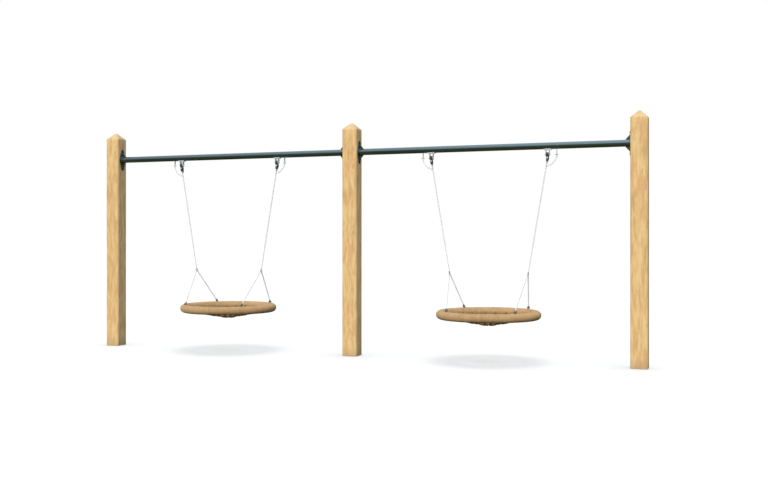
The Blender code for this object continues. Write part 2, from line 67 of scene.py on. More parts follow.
POSTS = ("left", "middle", "right")
TURN = 2 * math.pi
X_AXIS, Y_AXIS, Z_AXIS = Vector((1, 0, 0)), Vector((0, 1, 0)), Vector((0, 0, 1))

# Camera, fitted to the posts and beams
CAMERA_PLACE = (4.1769, -10.5625, 1.3926)
CAMERA_TURN = math.radians(19.63)
CAMERA_LENS = 44.093
CAMERA_SENSOR = 36.0
CAMERA_CLIP = 500.0

# Light
KEY_TOWARDS = (0.0, 0.95, -0.52)
KEY_STRENGTH = 2.5
KEY_SPREAD = 16
KEY_COLOUR = (1.0, 0.95, 0.86)
OVERHEAD_STRENGTH = 2.0
OVERHEAD_SPREAD = 38
OVERHEAD_COLOUR = (0.94, 0.96, 1.0)
FLOOR_COLOUR = (0.505, 0.48, 0.435)
FLOOR_GLOW = 0.40
FLOOR_HALF = 150.0
FLOOR_DROP = 0.0005

# Sky tones as (place, tone), up from below for the skies and along +X for the sides
SOFT_SKY = (
    (0.0, (0.030, 0.028, 0.018)), (0.46, (0.065, 0.062, 0.042)), (0.54, (0.61, 0.73, 0.87)),
    (0.75, (0.69, 0.78, 0.92)), (1.0, (0.82, 0.88, 1.05)),
)
SOFT_SIDE = ((0.0, 0.60), (0.42, 1.0))
SHINY_SKY = (
    (0.0, (0.055, 0.070, 0.016)), (0.575, (0.11, 0.135, 0.038)), (0.635, (0.60, 0.72, 0.86)),
    (0.75, (0.78, 0.90, 1.02)), (1.0, (0.98, 1.06, 1.10)),
)
SHINY_SIDE = ((0.18, 0.75), (0.46, 1.36), (0.53, 1.5), (0.66, 0.85), (1.0, 0.6))

# Materials
# The shift keeps the modulo positive and each post in the middle of its cell
PITCH_SHIFT = 10.5
TIMBER_SEED = (3.1, 5.7, 1.9)
TIMBER_HEART = (0.052, 0.041, 0)
RINGS_PER_METRE = 190.0
TIMBER_STREAKS = ((0.34, (0.690, 0.452, 0.188)), (0.50, (0.880, 0.605, 0.273)), (0.66, (0.945, 0.690, 0.338)))
TIMBER_PINK = (0.770, 0.425, 0.185)
TIMBER_BROWN = (0.540, 0.355, 0.165)
TIMBER_LATE = (0.47, 0.25, 0.085)
TIMBER_KNOT = (0.30, 0.14, 0.05)
TIMBER_END = (0.58, 0.50, 0.335)
TIMBER_FOOT = (0.34, 0.26, 0.16)
TIMBER_FIBRE = (0.42, 0.24, 0.09)
TIMBER_PORE = (0.36, 0.19, 0.07)
TIMBER_RELIEF = 0.0006
PAINT_METALLIC = 0.92
PAINT_DARK = (0.152, 0.196, 0.216)
PAINT_PALE = (0.186, 0.234, 0.256)
PAINT_DUST = (0.24, 0.25, 0.24)
PAINT_RELIEF = 0.00004
RUST = (0.16, 0.085, 0.045)
METALS = {
    "zinc": dict(name="zinc", dark=(0.74, 0.735, 0.72), pale=(0.93, 0.925, 0.91),
                 spangle=240.0, rough=0.38, metallic=0.4),
    "chain": dict(name="chain_zinc", dark=(0.84, 0.835, 0.825), pale=(0.97, 0.965, 0.955),
                  spangle=240.0, rough=0.40, metallic=0.2),
    "dull_zinc": dict(name="dull_zinc", dark=(0.20, 0.20, 0.195), pale=(0.38, 0.378, 0.37),
                      spangle=240.0, rough=0.45, metallic=0.6),
    "steel": dict(name="dark_steel", dark=(0.055, 0.06, 0.062), pale=(0.15, 0.155, 0.155),
                  spangle=300.0, rough=0.36, stain=0.35),
    "green": dict(name="bearing_green", dark=(0.045, 0.068, 0.058), pale=(0.085, 0.118, 0.098),
                  spangle=160.0, rough=0.38, metallic=0.35, grain=0.0002, grain_scale=500.0),
    "casting": dict(name="grey_casting", dark=(0.16, 0.17, 0.17), pale=(0.32, 0.33, 0.33),
                    spangle=350.0, rough=0.42, grain=0.0004, grain_scale=420.0, stain=0.2),
}
ROPES = {
    "rope": dict(name="rim_rope", dark=(0.450, 0.278, 0.130), pale=(0.665, 0.440, 0.222)),
    "net": dict(name="net_rope", dark=(0.340, 0.208, 0.092), pale=(0.530, 0.348, 0.166)),
}
ROPE_RELIEF = 0.0012
FLUFF_RELIEF = 0.0005

# Posts
POST_HALF = (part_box("post_middle")[1].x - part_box("post_middle")[0].x) / 2
POST_EASE = 0.010
POST_CORNER_R = 0.002
POST_SOFT = 0.003
POST_EAVES = 2.725
POST_TIP = 0.020
POST_TIP_SOFT = 0.002
EAVES_RISE = 0.0015
EAVES_INSET = 0.0022
PYRAMID_START = 0.12
PYRAMID_ROWS = 5
POST_ROW = 0.030
POST_COLUMNS = 7
POST_SHARP = 28
CHECKS_PER_POST = 7
CHECK_HALF_WIDTH = 0.0011
CHECK_DEPTH = 0.009
CHECK_REACH = 0.62
CHECK_STARTS = (0.05, 1.7)
CHECK_LENGTHS = (0.35, 1.25)
CHECK_FADE = 0.15
CHECK_WAVES = 37
CHECK_VARY = 0.25

# Beams
BEAM_AXIS_Z = 2.45
TUBE_R = 0.03805
TUBE_SIDES = 64
TUBE_BITE = 0.004
PLATE_THICKNESS = 0.008
PLATE_WAIST_R = 0.062
PLATE_END_R = 0.023
PLATE_BOLT_RISE = 0.115
GUSSET_LENGTH = 0.050
GUSSET_HEIGHT = 0.055
GUSSET_LIP = 0.006
GUSSET_THICKNESS = 0.006
GUSSET_BITE = 0.003
TAB_OFFSET = 0.102
TAB_THICKNESS = 0.006
TAB_R = 0.013
TAB_HOLE_R = 0.0055
EDGE = 0.0009
FINE_EDGE = 0.0008
PLATE_EDGE = 0.0015
BEAD_R = 0.0032
SEAM_R = 0.004
SEAM_OUT = 0.001
SEAM_POINTS = 72
TAB_BEAD_ARC = 0.34
TAB_BEAD_STEPS = 9
BEAD_STOP = 0.004
BEAD_RIPPLE = 0.0045
BEAD_SWELL = 0.13

# Bolts, as (shank radius, head corner radius, head height)
PIVOT_BOLT = (0.006, 0.0105, 0.007)
SHACKLE_BOLT = (0.0045, 0.0085, 0.0045)
BOLT_POINTS = 36
ROUND_POINTS = 24
HEX_SOFT = 0.0004
HEX_CONE_STEPS = 4
THREAD_PITCH = 0.002
THREAD_TURNS = 2
# Shares of the height, of the half width across flats, of the shank's radius and of the thread's
HEX_CONE_LOW = 0.80
HEX_CONE_TOP = 0.94
THREAD_SHARE = 0.96
THREAD_ROOT = 0.90
THREAD_END = ((0.0, 0.95), (0.0012, 0.78))

# Domed fasteners in the posts
SCREW_R = 0.008
DOME_R = 0.0165
DOME_EDGE = 0.0015
DOME_HEIGHT = 0.0045
DOME_SOFT = 0.0005
DOME_STEPS = 5
SOCKET_R = 0.0058
SOCKET_DEPTH = 0.0032

# Hangers
HANGER_STEPS = 14
EYE_PLATE_STEPS = 12
HUB_POINTS = 48
BRIDGE_POINTS = 32
SADDLE_LENGTH = 0.086
SADDLE_WIDTH = 0.040
SADDLE_THICKNESS = 0.0125
SADDLE_WEB = 0.009
SADDLE_GAP = 0.0003
SADDLE_EDGE = 0.0012
SADDLE_ARC_STEPS = 13
SADDLE_BEAD_R = 0.003
SADDLE_BEAD_INSET = 0.002
SADDLE_BEAD_OUT = 0.001
CHEEK_R = 0.022
CHEEK_BITE = 0.006
CHEEK_THICKNESS = 0.006
CHEEK_INSIDE = 0.0165
CHEEK_EDGE = 0.001
CHEEK_BEAD_HALF = 0.018
CHEEK_BEAD_R = 0.0026
BLOCK_HUB_R = 0.0225
BLOCK_HUB_HALF = 0.0155
BLOCK_TAIL_R = 0.014
BLOCK_TAIL_HALF = 0.0145
BLOCK_SOFT = 0.0018
YOKE_TOP_R = 0.015
YOKE_BOTTOM_R = 0.0095
YOKE_BRIDGE_DROP = 0.034
YOKE_BRIDGE_R = 0.008
YOKE_LEG_INSIDE = 0.0155
YOKE_LEG_THICKNESS = 0.005
YOKE_EYE_DROP = 0.052
YOKE_EYE_R = 0.010
YOKE_EYE_ROOT_R = 0.007
YOKE_EYE_HOLE_R = 0.0054
YOKE_EYE_THICKNESS = 0.008

# Chains and shackles
LINK_WIRE_R = 0.0025
LINK_HALF_WIDTH = 0.0067
LINK_PITCH = 0.021
LINK_END_POINTS = 9
LINK_LEG = (0.35, 0.0, -0.35)
LINK_SIDES = 8
LINK_WELD = 1.16
LINK_SLACK = math.radians(5)
CHAIN_STEP = 0.005
RING_R = 0.018
RING_WIRE_R = 0.004
RING_WELD = 1.12
SHACKLE_WIRE_R = 0.0037
SHACKLE_REACH = 0.026
SHACKLE_EAR_R = 0.009
SHACKLE_EAR_SOFT = 0.001
SHACKLE_CLEARANCE = 0.0004
SHACKLE_LEG = (0, 0.25, 0.5, 0.75)
SHACKLE_BOW_STEPS = 15
SHACKLE_SIDES = 12
SAFETY_BELLY = (0.022, 0.110)
SAFETY_JOIN_DROP = 0.098
SAFETY_END = (0.010, -0.019, 0.004)
SAFETY_STEPS = 60
HOOK_LENGTH = 0.024
HOOK_HALF_WIDTH = 0.0095

# Baskets
WINDING_TURNS = 216
WINDING_ROPE_R = 0.008
WINDING_ROWS = (0.0, 0.035, 0.13, 0.29, 0.5, 0.71, 0.87, 0.965)
WINDING_COLUMNS = 34
WINDING_SQUASH = 0.87
WINDING_LIMIT = 0.98
CORE_R = 0.0212
LUG_RISE = 0.062
LUG_R = 0.012
LUG_ROOT_RISE = 0.012
LUG_ROOT_R = 0.014
LUG_THICKNESS = 0.008
LUG_EDGE = 0.001
LUG_HOLE_R = 0.0053
NET_ROPE_R = 0.007
NET_SAG = 0.106
NET_CURVE = 2.0
NET_REACH = 0.498
NET_SPOKES = 12
NET_RINGS = (0.145, 0.215, 0.285, 0.355, 0.425)
NET_SPLIT_RING = 1
NET_TURN = TURN / (8 * NET_SPOKES)
SPOKE_OVERLAP = 0.012
SPOKE_STEPS = 24
HOOP_STEPS = 24
HOOP_ROUND = 0.35
ROPE_LAY = 0.115
ROPE_STRANDS = 6
ROPE_STEP = 0.008
ROPE_LOBE = 0.86
CENTRE_RING_R = 0.046
CENTRE_WIRE_R = 0.009
CRIMP_PLACE = CENTRE_RING_R + 0.052
CRIMP_RISE = 0.005
CRIMP_SPAN = (0.09, 0.13)
NECK_PLACE = CENTRE_RING_R + 0.030
NECK_RISE = 0.012
EYE_ARC = (math.radians(62), math.radians(298))
EYE_STEPS = 14
# Ferrules, as (length, radius, flatness), and their outline as (place, share of the radius)
CRIMP_SIZE = (0.030, 0.0145, 0.72)
SLEEVE_SIZE = (0.030, 0.0108, 1.0)
SLEEVE_SPAN = 0.01
SLEEVE_OUTLINE = (
    (-0.5, 0.72), (-0.47, 0.86), (-0.42, 0.96), (-0.35, 1.0), (0.35, 1.0), (0.42, 0.96), (0.47, 0.86),
    (0.5, 0.72),
)
WHIPPING_REACH = (0.452, 0.482)
WHIPPING_WIRE_R = 0.0018
WHIPPING_LAP = 0.6
WHIPPING_STEPS = 10


# ---- shells: (points, faces, uvs)

def grid(points, wrap=False, caps=False, u=None, v=None, shift=0):
    """A shell over rows of points, each row a closed loop that runs anticlockwise round the
    direction of the rows. wrap joins the last row to the first. shift is how many rows on a
    loop closes, for a spiral."""
    points = np.asarray(points, float)
    rows, columns = points.shape[:2]
    bands = rows if wrap else rows - 1
    i = np.arange(bands)[:, None] + np.zeros(columns, int)
    j = np.arange(columns)[None, :] + np.zeros((bands, 1), int)
    over = (j + 1) // columns * shift
    faces = np.stack([
        i * columns + j,
        (i + over) % rows * columns + (j + 1) % columns,
        (i + 1 + over) % rows * columns + (j + 1) % columns,
        (i + 1) % rows * columns + j,
    ], -1).reshape(-1, 4)
    u = np.arange(bands + 1.0) if u is None else np.asarray(u)
    v = np.linspace(0, 1, columns + 1) if v is None else np.asarray(v)
    if u.ndim == 1:
        u = np.stack([u[:-1], u[1:]], -1)
    along = u[i[:, 0]]
    uvs = np.stack([
        np.stack([along[:, :1] + 0 * j, v[j]], -1),
        np.stack([along[:, :1] + 0 * j, v[j + 1]], -1),
        np.stack([along[:, 1:] + 0 * j, v[j + 1]], -1),
        np.stack([along[:, 1:] + 0 * j, v[j]], -1),
    ], 2).reshape(-1, 2)
    faces = [tuple(face) for face in faces.tolist()]
    uvs = uvs.tolist()
    if caps:
        first = list(range(columns))[::-1]
        last = [(rows - 1) * columns + k for k in range(columns)]
        faces += [tuple(first), tuple(last)]
        uvs += [[float(u[0, 0]), k / columns] for k in range(columns)]
        uvs += [[float(u[-1, 1]), k / columns] for k in range(columns)]
    return points.reshape(-1, 3), faces, uvs


def placed(shell, matrix):
    """A shell moved and turned by a matrix."""
    points, faces, uvs = shell
    m = np.array(matrix)
    return points @ m[:3, :3].T + m[:3, 3], faces, uvs


def piece(name, shells, key, body, nodes=(), angle=35):
    """One object from shells in one material, which rides on a body and stands for CAD nodes."""
    points, faces, uvs, count = [], [], [], 0
    for shell_points, shell_faces, shell_uvs in shells:
        points.append(shell_points)
        faces += [tuple(k + count for k in face) for face in shell_faces]
        uvs += shell_uvs
        count += len(shell_points)
    mesh = bpy.data.meshes.new(name)
    mesh.from_pydata(np.concatenate(points).tolist(), [], faces)
    layer = mesh.uv_layers.new(name="UVMap")
    layer.data.foreach_set("uv", np.array(uvs, np.float32).ravel())
    mesh.materials.append(MATERIALS[key])
    mesh.shade_smooth()
    mesh.set_sharp_from_angle(angle=math.radians(angle))
    item = bpy.data.objects.new(name, mesh)
    bpy.context.scene.collection.objects.link(item)
    if body:
        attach(item, body)
    if nodes:
        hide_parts(*nodes)
    return item


def stand_in(node_name, suffix, shells, key, body, angle=35):
    """A piece for one CAD node, named after it."""
    return piece(f"{node_name}_{suffix}", shells, key, body, [node_name], angle)


def facing(place, axis, side=None):
    """A matrix whose local Z runs along axis and whose local X runs as near side as it can."""
    z = Vector(axis).normalized()
    side = Vector(side) if side is not None else (X_AXIS if abs(z.x) < 0.9 else Y_AXIS)
    x = (side - z * side.dot(z)).normalized()
    y = z.cross(x)
    matrix = Matrix((x, y, z)).transposed().to_4x4()
    matrix.translation = place
    return matrix


def along_x(place):
    """A matrix whose local Z runs along +X and whose local X runs along +Y."""
    return facing(place, X_AXIS, Y_AXIS)


def circle(radius, count):
    angle = np.arange(count) * TURN / count
    return np.stack([radius * np.cos(angle), radius * np.sin(angle)], -1)


def hexagon(corner, count=BOLT_POINTS):
    angle = np.arange(count) * TURN / count
    radius = corner * math.cos(math.pi / 6) / np.cos(angle % (math.pi / 3) - math.pi / 6)
    return np.stack([radius * np.cos(angle), radius * np.sin(angle)], -1)


def limited(outline, radius):
    """An outline cut back to a radius."""
    length = np.linalg.norm(outline, axis=1, keepdims=True)
    return outline * np.minimum(1, radius / length)


def at_height(outline, z):
    return np.column_stack([outline, np.full(len(outline), z)])


def stack(sections):
    """A capped shell over outlines stacked along local Z, as (height, outline)."""
    rows = [at_height(outline, z) for z, outline in sections]
    return grid(rows, caps=True, u=[z for z, _ in sections])


def turned(profile, count=BOLT_POINTS):
    """A capped shell turned round local Z, from (height, radius) going up."""
    return stack([(z, circle(radius, count)) for z, radius in profile])


def belt(circles, steps=10):
    """The outline of a belt round circles (v, radius) in a row up the v axis."""
    tangents = [-math.pi / 2]
    for (low_v, low_r), (high_v, high_r) in zip(circles, circles[1:]):
        tangents.append(math.asin((low_r - high_r) / (high_v - low_v)))
    tangents.append(math.pi / 2)
    right = []
    for (v, radius), start, end in zip(circles, tangents, tangents[1:]):
        for i in range(steps + 1):
            angle = start + (end - start) * i / steps
            right.append((radius * math.cos(angle), v + radius * math.sin(angle)))
    left = [(-u, v) for u, v in reversed(right[1:-1])]
    return np.array(right + left)


def inset(outline, depth):
    """An anticlockwise outline moved inwards along its corners' normals."""
    ahead = np.roll(outline, -1, 0) - outline
    ahead /= np.maximum(np.linalg.norm(ahead, axis=1, keepdims=True), 1e-9)
    both = ahead + np.roll(ahead, 1, 0)
    both /= np.linalg.norm(both, axis=1, keepdims=True)
    return outline + depth * np.column_stack([-both[:, 1], both[:, 0]])


def plate(outline, thickness, edge=EDGE, hole=None):
    """A plate across local Z with eased edges. hole is (centre, radius)."""
    half = thickness / 2
    eased = inset(outline, edge)
    levels = [(-half, eased), (edge - half, outline), (half - edge, outline), (half, eased)]
    if hole is None:
        return stack(levels)
    centre, radius = np.array(hole[0]), hole[1]
    spoke = outline - centre
    spoke /= np.linalg.norm(spoke, axis=1, keepdims=True)
    levels += [
        (half, centre + spoke * (radius + edge)),
        (half - edge, centre + spoke * radius),
        (edge - half, centre + spoke * radius),
        (-half, centre + spoke * (radius + edge)),
    ]
    loops = np.stack([at_height(section, z) for z, section in levels], 1)
    return grid(loops[::-1], wrap=True, u=np.arange(len(outline) + 1) * 0.01)


def frames(path, closed=False, start=None):
    """Tangent, normal and binormal at each point, carried along without twist."""
    if closed:
        tangents = np.roll(path, -1, 0) - np.roll(path, 1, 0)
    else:
        tangents = np.gradient(path, axis=0)
    tangents /= np.linalg.norm(tangents, axis=1, keepdims=True)
    first = np.array(start) if start is not None else np.eye(3)[np.argmin(abs(tangents[0]))]
    normals = np.empty_like(path)
    last = first
    for i, tangent in enumerate(tangents):
        last = last - tangent * (last @ tangent)
        last /= np.linalg.norm(last)
        normals[i] = last
    return tangents, normals, np.cross(tangents, normals)


def lengths(path, closed=False):
    """The distance along a path to each point, and its end."""
    ends = np.vstack([path, path[:1]]) if closed else path
    return np.concatenate([[0], np.cumsum(np.linalg.norm(np.diff(ends, axis=0), axis=1))])


def sweep(path, section, closed=False, start=None):
    """A tube over a path. section is M x 2, or N x M x 2 with one for each point."""
    path = np.asarray(path, float)
    _, normals, binormals = frames(path, closed, start)
    section = np.broadcast_to(section, (len(path), *np.shape(section)[-2:]))
    rows = path[:, None] + normals[:, None] * section[..., :1] + binormals[:, None] * section[..., 1:]
    along = lengths(path, closed)
    return grid(rows, wrap=closed, caps=not closed, u=along)


def resampled(path, step, closed=False):
    path = np.asarray(path, float)
    along = lengths(path, closed)
    if closed:
        path = np.vstack([path, path[:1]])
    count = max(2, round(along[-1] / step)) + (0 if closed else 1)
    at = np.linspace(0, along[-1], count, endpoint=not closed)
    return np.stack([np.interp(at, along, path[:, k]) for k in range(3)], -1)


def bead(path, closed=False, radius=BEAD_R):
    """A weld bead with its ripples."""
    path = resampled(path, BEAD_RIPPLE / 3, closed)
    swell = 1 + BEAD_SWELL * np.cos(np.arange(len(path)) * TURN / 3)
    return sweep(path, circle(radius, 8)[None] * swell[:, None, None], closed)


# ---- node materials

class Signal:
    """An output of a shader node. Arithmetic on it adds Math nodes to its tree."""

    def __init__(self, made, key=0):
        self.tree = made.id_data
        self.socket = made.outputs[key]

    def math(self, operation, *others):
        return Signal(node(self.tree, "Math", enumerate((self, *others)), operation=operation))

    def __add__(self, other):
        return self.math("ADD", other)

    def __sub__(self, other):
        return self.math("SUBTRACT", other)

    def __mul__(self, other):
        return self.math("MULTIPLY", other)

    def __truediv__(self, other):
        return self.math("DIVIDE", other)

    def __mod__(self, other):
        return self.math("MODULO", other)


def node(tree, kind, inputs=(), **settings):
    """A shader node. inputs pairs a socket's name or number with a value or a Signal."""
    made = tree.nodes.new("ShaderNode" + kind)
    for key, value in settings.items():
        setattr(made, key, value)
    for key, value in inputs:
        if isinstance(value, Signal):
            tree.links.new(value.socket, made.inputs[key])
        else:
            made.inputs[key].default_value = value
    return made


def noise(place, scale, detail=3.0, roughness=0.5, distortion=0.0):
    inputs = zip(("Vector", "Scale", "Detail", "Roughness", "Distortion"),
                 (place, scale, detail, roughness, distortion))
    return Signal(node(place.tree, "TexNoise", inputs), "Fac")


def stretched(place, scale, offset=(0, 0, 0)):
    inputs = (("Vector", place), ("Scale", scale), ("Location", offset))
    return Signal(node(place.tree, "Mapping", inputs))


def vector_math(operation, first, second=(0, 0, 0), key=0):
    inputs = ((0, first), (1, second))
    return Signal(node(first.tree, "VectorMath", inputs, operation=operation), key)


def split(place):
    """The X, Y and Z of a vector."""
    axes = node(place.tree, "SeparateXYZ", ((0, place),))
    return [Signal(axes, key) for key in range(3)]


def vector(x, y=0.0, z=0.0):
    return Signal(node(x.tree, "CombineXYZ", enumerate((x, y, z))))


def ramp(value, *stops):
    """A colour or grey from stops of (place, colour)."""
    made = node(value.tree, "ValToRGB", (("Fac", value),))
    colours = made.color_ramp.elements
    while len(colours) < len(stops):
        colours.new(0.5)
    for element, (place, colour) in zip(colours, stops):
        element.position = place
        grey = isinstance(colour, (int, float))
        element.color = (colour, colour, colour, 1) if grey else (*colour, 1)
    return Signal(made, "Color")


def mixed(factor, first, colour):
    """A Signal of colour with a plain colour mixed in."""
    inputs = ((0, factor), (6, first), (7, (*colour, 1)))
    return Signal(node(factor.tree, "Mix", inputs, data_type="RGBA"), 2)


def bump(height, depth, normal=None):
    inputs = [("Height", height), ("Distance", depth), ("Strength", 1.0)]
    if normal is not None:
        inputs.append(("Normal", normal))
    return Signal(node(height.tree, "Bump", inputs))


def new_material(name, colour=None, roughness=None, metallic=0.0, **values):
    """A Principled material, its shader and its object coordinates."""
    material = bpy.data.materials.new(name)
    material.use_nodes = True
    shader = material.node_tree.nodes["Principled BSDF"]
    shader.inputs["Metallic"].default_value = metallic
    if roughness is not None:
        shader.inputs["Roughness"].default_value = roughness
    if colour is not None:
        shader.inputs["Base Color"].default_value = (*colour, 1)
    for key, value in values.items():
        shader.inputs[key.replace("_", " ")].default_value = value
    return material, shader, Signal(node(material.node_tree, "TexCoord"), "Object")


def plug(shader, **signals):
    for key, signal in signals.items():
        signal.tree.links.new(signal.socket, shader.inputs[key.replace("_", " ")])


def post_places(place):
    """Coordinates round each post's own axis, and the same moved to each post's own wood."""
    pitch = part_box("post_right")[0].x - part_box("post_middle")[0].x
    x, y, z = split(place)
    local = vector((x + PITCH_SHIFT * pitch) % pitch - pitch / 2, y, z)
    number = (x / pitch).math("ROUND")
    seed = vector_math("MULTIPLY", vector(number, number, number), TIMBER_SEED)
    return local, vector_math("ADD", local, seed), z


def timber_grain(local, own):
    """Late wood of the growth rings, which wander up the trunk and swirl round knots. Also the knots."""
    cells = (("Vector", stretched(own, (5.5, 5.5, 2.4), (0.3, 0.2, 0.45))), ("Scale", 1.0))
    knots = Signal(node(own.tree, "TexVoronoi", cells, feature="F1"), "Distance")
    near = ramp(knots, (0.0, 1.0), (0.14, 0.25), (0.34, 0.0))
    wander = noise(stretched(own, (2.6, 2.6, 0.45)), 1.0)
    flat = vector_math("MULTIPLY", vector_math("ADD", local, TIMBER_HEART), (1, 1, 0))
    radius = vector_math("LENGTH", flat, key="Value")
    rings = radius * RINGS_PER_METRE + wander * 9.0 + near * 2.6
    late = ramp(rings.math("FRACT"), (0.0, 0.05), (0.45, 0.12), (0.80, 0.62), (0.93, 1.0), (1.0, 0.05))
    return late, ramp(knots, (0.050, 0.85), (0.060, 1.0), (0.066, 0.45), (0.10, 0.0))


def timber_material():
    """Planed softwood: growth rings round each post's heart, streaks, knots and fine fibres."""
    material, shader, place = new_material("timber", Specular_IOR_Level=0.35)
    local, own, height = post_places(place)
    late, knot = timber_grain(local, own)

    # Streaks of sap and heart wood
    streak = noise(stretched(own, (32, 32, 5.5)), 1.0, 4.0, 0.62, 0.4)
    patch = noise(stretched(own, (19, 19, 5.0), (3, 1, 4)), 1.0, 2.5, 0.55, 0.3)
    broad = noise(stretched(own, (15, 15, 3.6), (7, 2, 5)), 1.0, 2.0)
    colour = ramp(streak, *TIMBER_STREAKS)
    colour = mixed(ramp(patch, (0.47, 0.0), (0.64, 0.68)), colour, TIMBER_PINK)
    colour = mixed(ramp(broad, (0.56, 0.0), (0.72, 0.45)), colour, TIMBER_BROWN)
    colour = mixed(late * 0.36, colour, TIMBER_LATE)
    colour = mixed(knot * 0.30, colour, TIMBER_KNOT)

    # Ends: paler end grain on the pyramid, and darker, greyer wood towards the foot
    colour = mixed(height.math("GREATER_THAN", POST_EAVES + EDGE) * 0.38, colour, TIMBER_END)
    colour = mixed(ramp(height, (0.0, 0.45), (0.12, 0.0)), colour, TIMBER_FOOT)

    fibre = noise(stretched(own, (520, 520, 11)), 1.0, 3.0, 0.65)
    pores = ramp(noise(stretched(own, (900, 900, 22)), 1.0, 1.0), (0.60, 0.0), (0.70, 0.32))
    colour = mixed(fibre * 0.17, colour, TIMBER_FIBRE)
    colour = mixed(pores, colour, TIMBER_PORE)
    shine = ramp(fibre + streak, (0.6, 0.54), (1.4, 0.72))
    plug(shader, Base_Color=colour, Roughness=shine, Normal=bump(fibre * 0.5 + late * 0.5, TIMBER_RELIEF))
    return material


def paint_material():
    """Dark green-black powder coat over steel, with orange peel and a little dust."""
    material, shader, place = new_material("beam_paint", metallic=PAINT_METALLIC)
    peel = noise(place, 900.0, 1.0)
    cloud = noise(stretched(place, (1.5, 6, 6)), 1.0, 4.0, 0.6)
    speck = ramp(noise(place, 60.0, 5.0, 0.7), (0.60, 0.0), (0.78, 0.25))
    colour = mixed(speck, ramp(cloud, (0.3, PAINT_DARK), (0.7, PAINT_PALE)), PAINT_DUST)
    shine = ramp(cloud + speck * 0.6, (0.3, 0.20), (0.9, 0.32))
    plug(shader, Base_Color=colour, Roughness=shine, Normal=bump(peel, PAINT_RELIEF))
    return material


def metal_material(name, dark, pale, spangle, rough, metallic=1.0, grain=0.0001, grain_scale=700.0,
                   stain=0.0):
    """Metal with crystals of its coating, a fine grain and, where stain is set, rust in patches."""
    material, shader, place = new_material(name, metallic=metallic)
    crystals = Signal(node(place.tree, "TexVoronoi", (("Vector", place), ("Scale", spangle))), "Color")
    tone = Signal(node(place.tree, "SeparateColor", ((0, crystals),)))
    value = tone * 0.45 + noise(place, 28.0, 4.0, 0.6) * 0.6
    colour = ramp(value, (0.2, dark), (0.8, pale))
    if stain:
        patch = ramp(noise(place, 70.0, 5.0, 0.7), (0.56, 0.0), (0.75, stain))
        colour = mixed(patch, colour, RUST)
    shine = ramp(value, (0.2, rough + 0.12), (0.8, rough))
    plug(shader, Base_Color=colour, Roughness=shine, Normal=bump(noise(place, grain_scale, 2.0), grain))
    return material


def shade(colour, share):
    return tuple(share * channel for channel in colour)


def rope_material(name, dark, pale):
    """Laid rope, from its UVs: metres along the rope, and turns round it. Strands run on a slant,
    with the yarns in them, a little fluff, and painted shade in the grooves between the strands."""
    material, shader, place = new_material(name, Specular_IOR_Level=0.25)
    along, turns, _ = split(Signal(node(place.tree, "UVMap", uv_map="UVMap")))
    strand = (turns + along / ROPE_LAY) * float(ROPE_STRANDS)
    crown = (strand * math.pi).math("SINE").math("ABSOLUTE")
    yarn = (strand * 5.0 - along * 190.0).math("SINE").math("ABSOLUTE")
    fluff = noise(place, 1400.0, 3.0, 0.7)
    tone = noise(place, 9.0, 3.0, 0.6)
    rope_tone = noise(vector(along * 3.0), 1.0, 2.0)
    colour = ramp(tone * 0.55 + rope_tone * 0.45, (0.32, dark), (0.66, pale))
    # Painted shade: the grooves between the strands are darkened towards a dark rope tone
    colour = mixed(ramp(crown, (0.0, 0.75), (0.45, 0.0)), colour, shade(dark, 0.30))
    colour = mixed(yarn * 0.22, colour, shade(pale, 1.12))
    colour = mixed(fluff * 0.25, colour, shade(dark, 0.55))
    lay = bump(crown * 0.8 + yarn * 0.2, ROPE_RELIEF)
    shine = ramp(fluff, (0.3, 0.78), (0.7, 0.95))
    plug(shader, Base_Color=colour, Roughness=shine, Normal=bump(fluff, FLUFF_RELIEF, lay))
    return material


def make_materials():
    made = {"timber": timber_material(), "paint": paint_material()}
    for key, values in METALS.items():
        made[key] = metal_material(**values)
    for key, values in ROPES.items():
        made[key] = rope_material(**values)
    return made


MATERIALS = make_materials()


# ---- fasteners

def rod(low, high, radius, count=ROUND_POINTS):
    return turned([(low, radius), (high, radius)], count)


def soft_disc(half, radius, soft, count=ROUND_POINTS):
    """A disc across local Z with soft edges."""
    return turned([(-half, radius - soft), (soft - half, radius), (half - soft, radius),
                   (half, radius - soft)], count)


def hex_end(low, corner, height):
    """A bolt's head or a nut on local Z, with the cone that trims its corners."""
    full = hexagon(corner)
    flat = corner * math.cos(math.pi / 6)
    levels = [(low, inset(full, HEX_SOFT)), (low + HEX_SOFT, full)]
    for share in np.linspace(0, 1, HEX_CONE_STEPS):
        radius = corner + (HEX_CONE_TOP * flat - corner) * share
        rise = HEX_CONE_LOW + (1 - HEX_CONE_LOW) * share
        levels.append((low + height * rise, limited(full, radius)))
    return stack(levels)


def thread(low, radius):
    """The end of a bolt past its nut: ridges, then a chamfer."""
    levels = []
    for i in range(2 * THREAD_TURNS):
        levels.append((low + i * THREAD_PITCH / 2, radius * (1.0 if i % 2 else THREAD_ROOT)))
    top = low + THREAD_TURNS * THREAD_PITCH
    levels += [(top + rise, radius * share) for rise, share in THREAD_END]
    return turned(levels, ROUND_POINTS)


def bolt(place, axis, half_grip, size, side=None):
    """The shells of a bolt whose head is at the axis's far end and whose nut is at its near end."""
    shank, corner, head = size
    shells = [placed(rod(-half_grip, half_grip, shank), facing(place, axis, side))]
    for direction in (-1, 1):
        matrix = facing(place, Vector(axis) * direction, side)
        shells.append(placed(hex_end(half_grip, corner, head), matrix))
        if direction < 0:
            shells.append(placed(thread(half_grip + head, shank * THREAD_SHARE), matrix))
    return shells


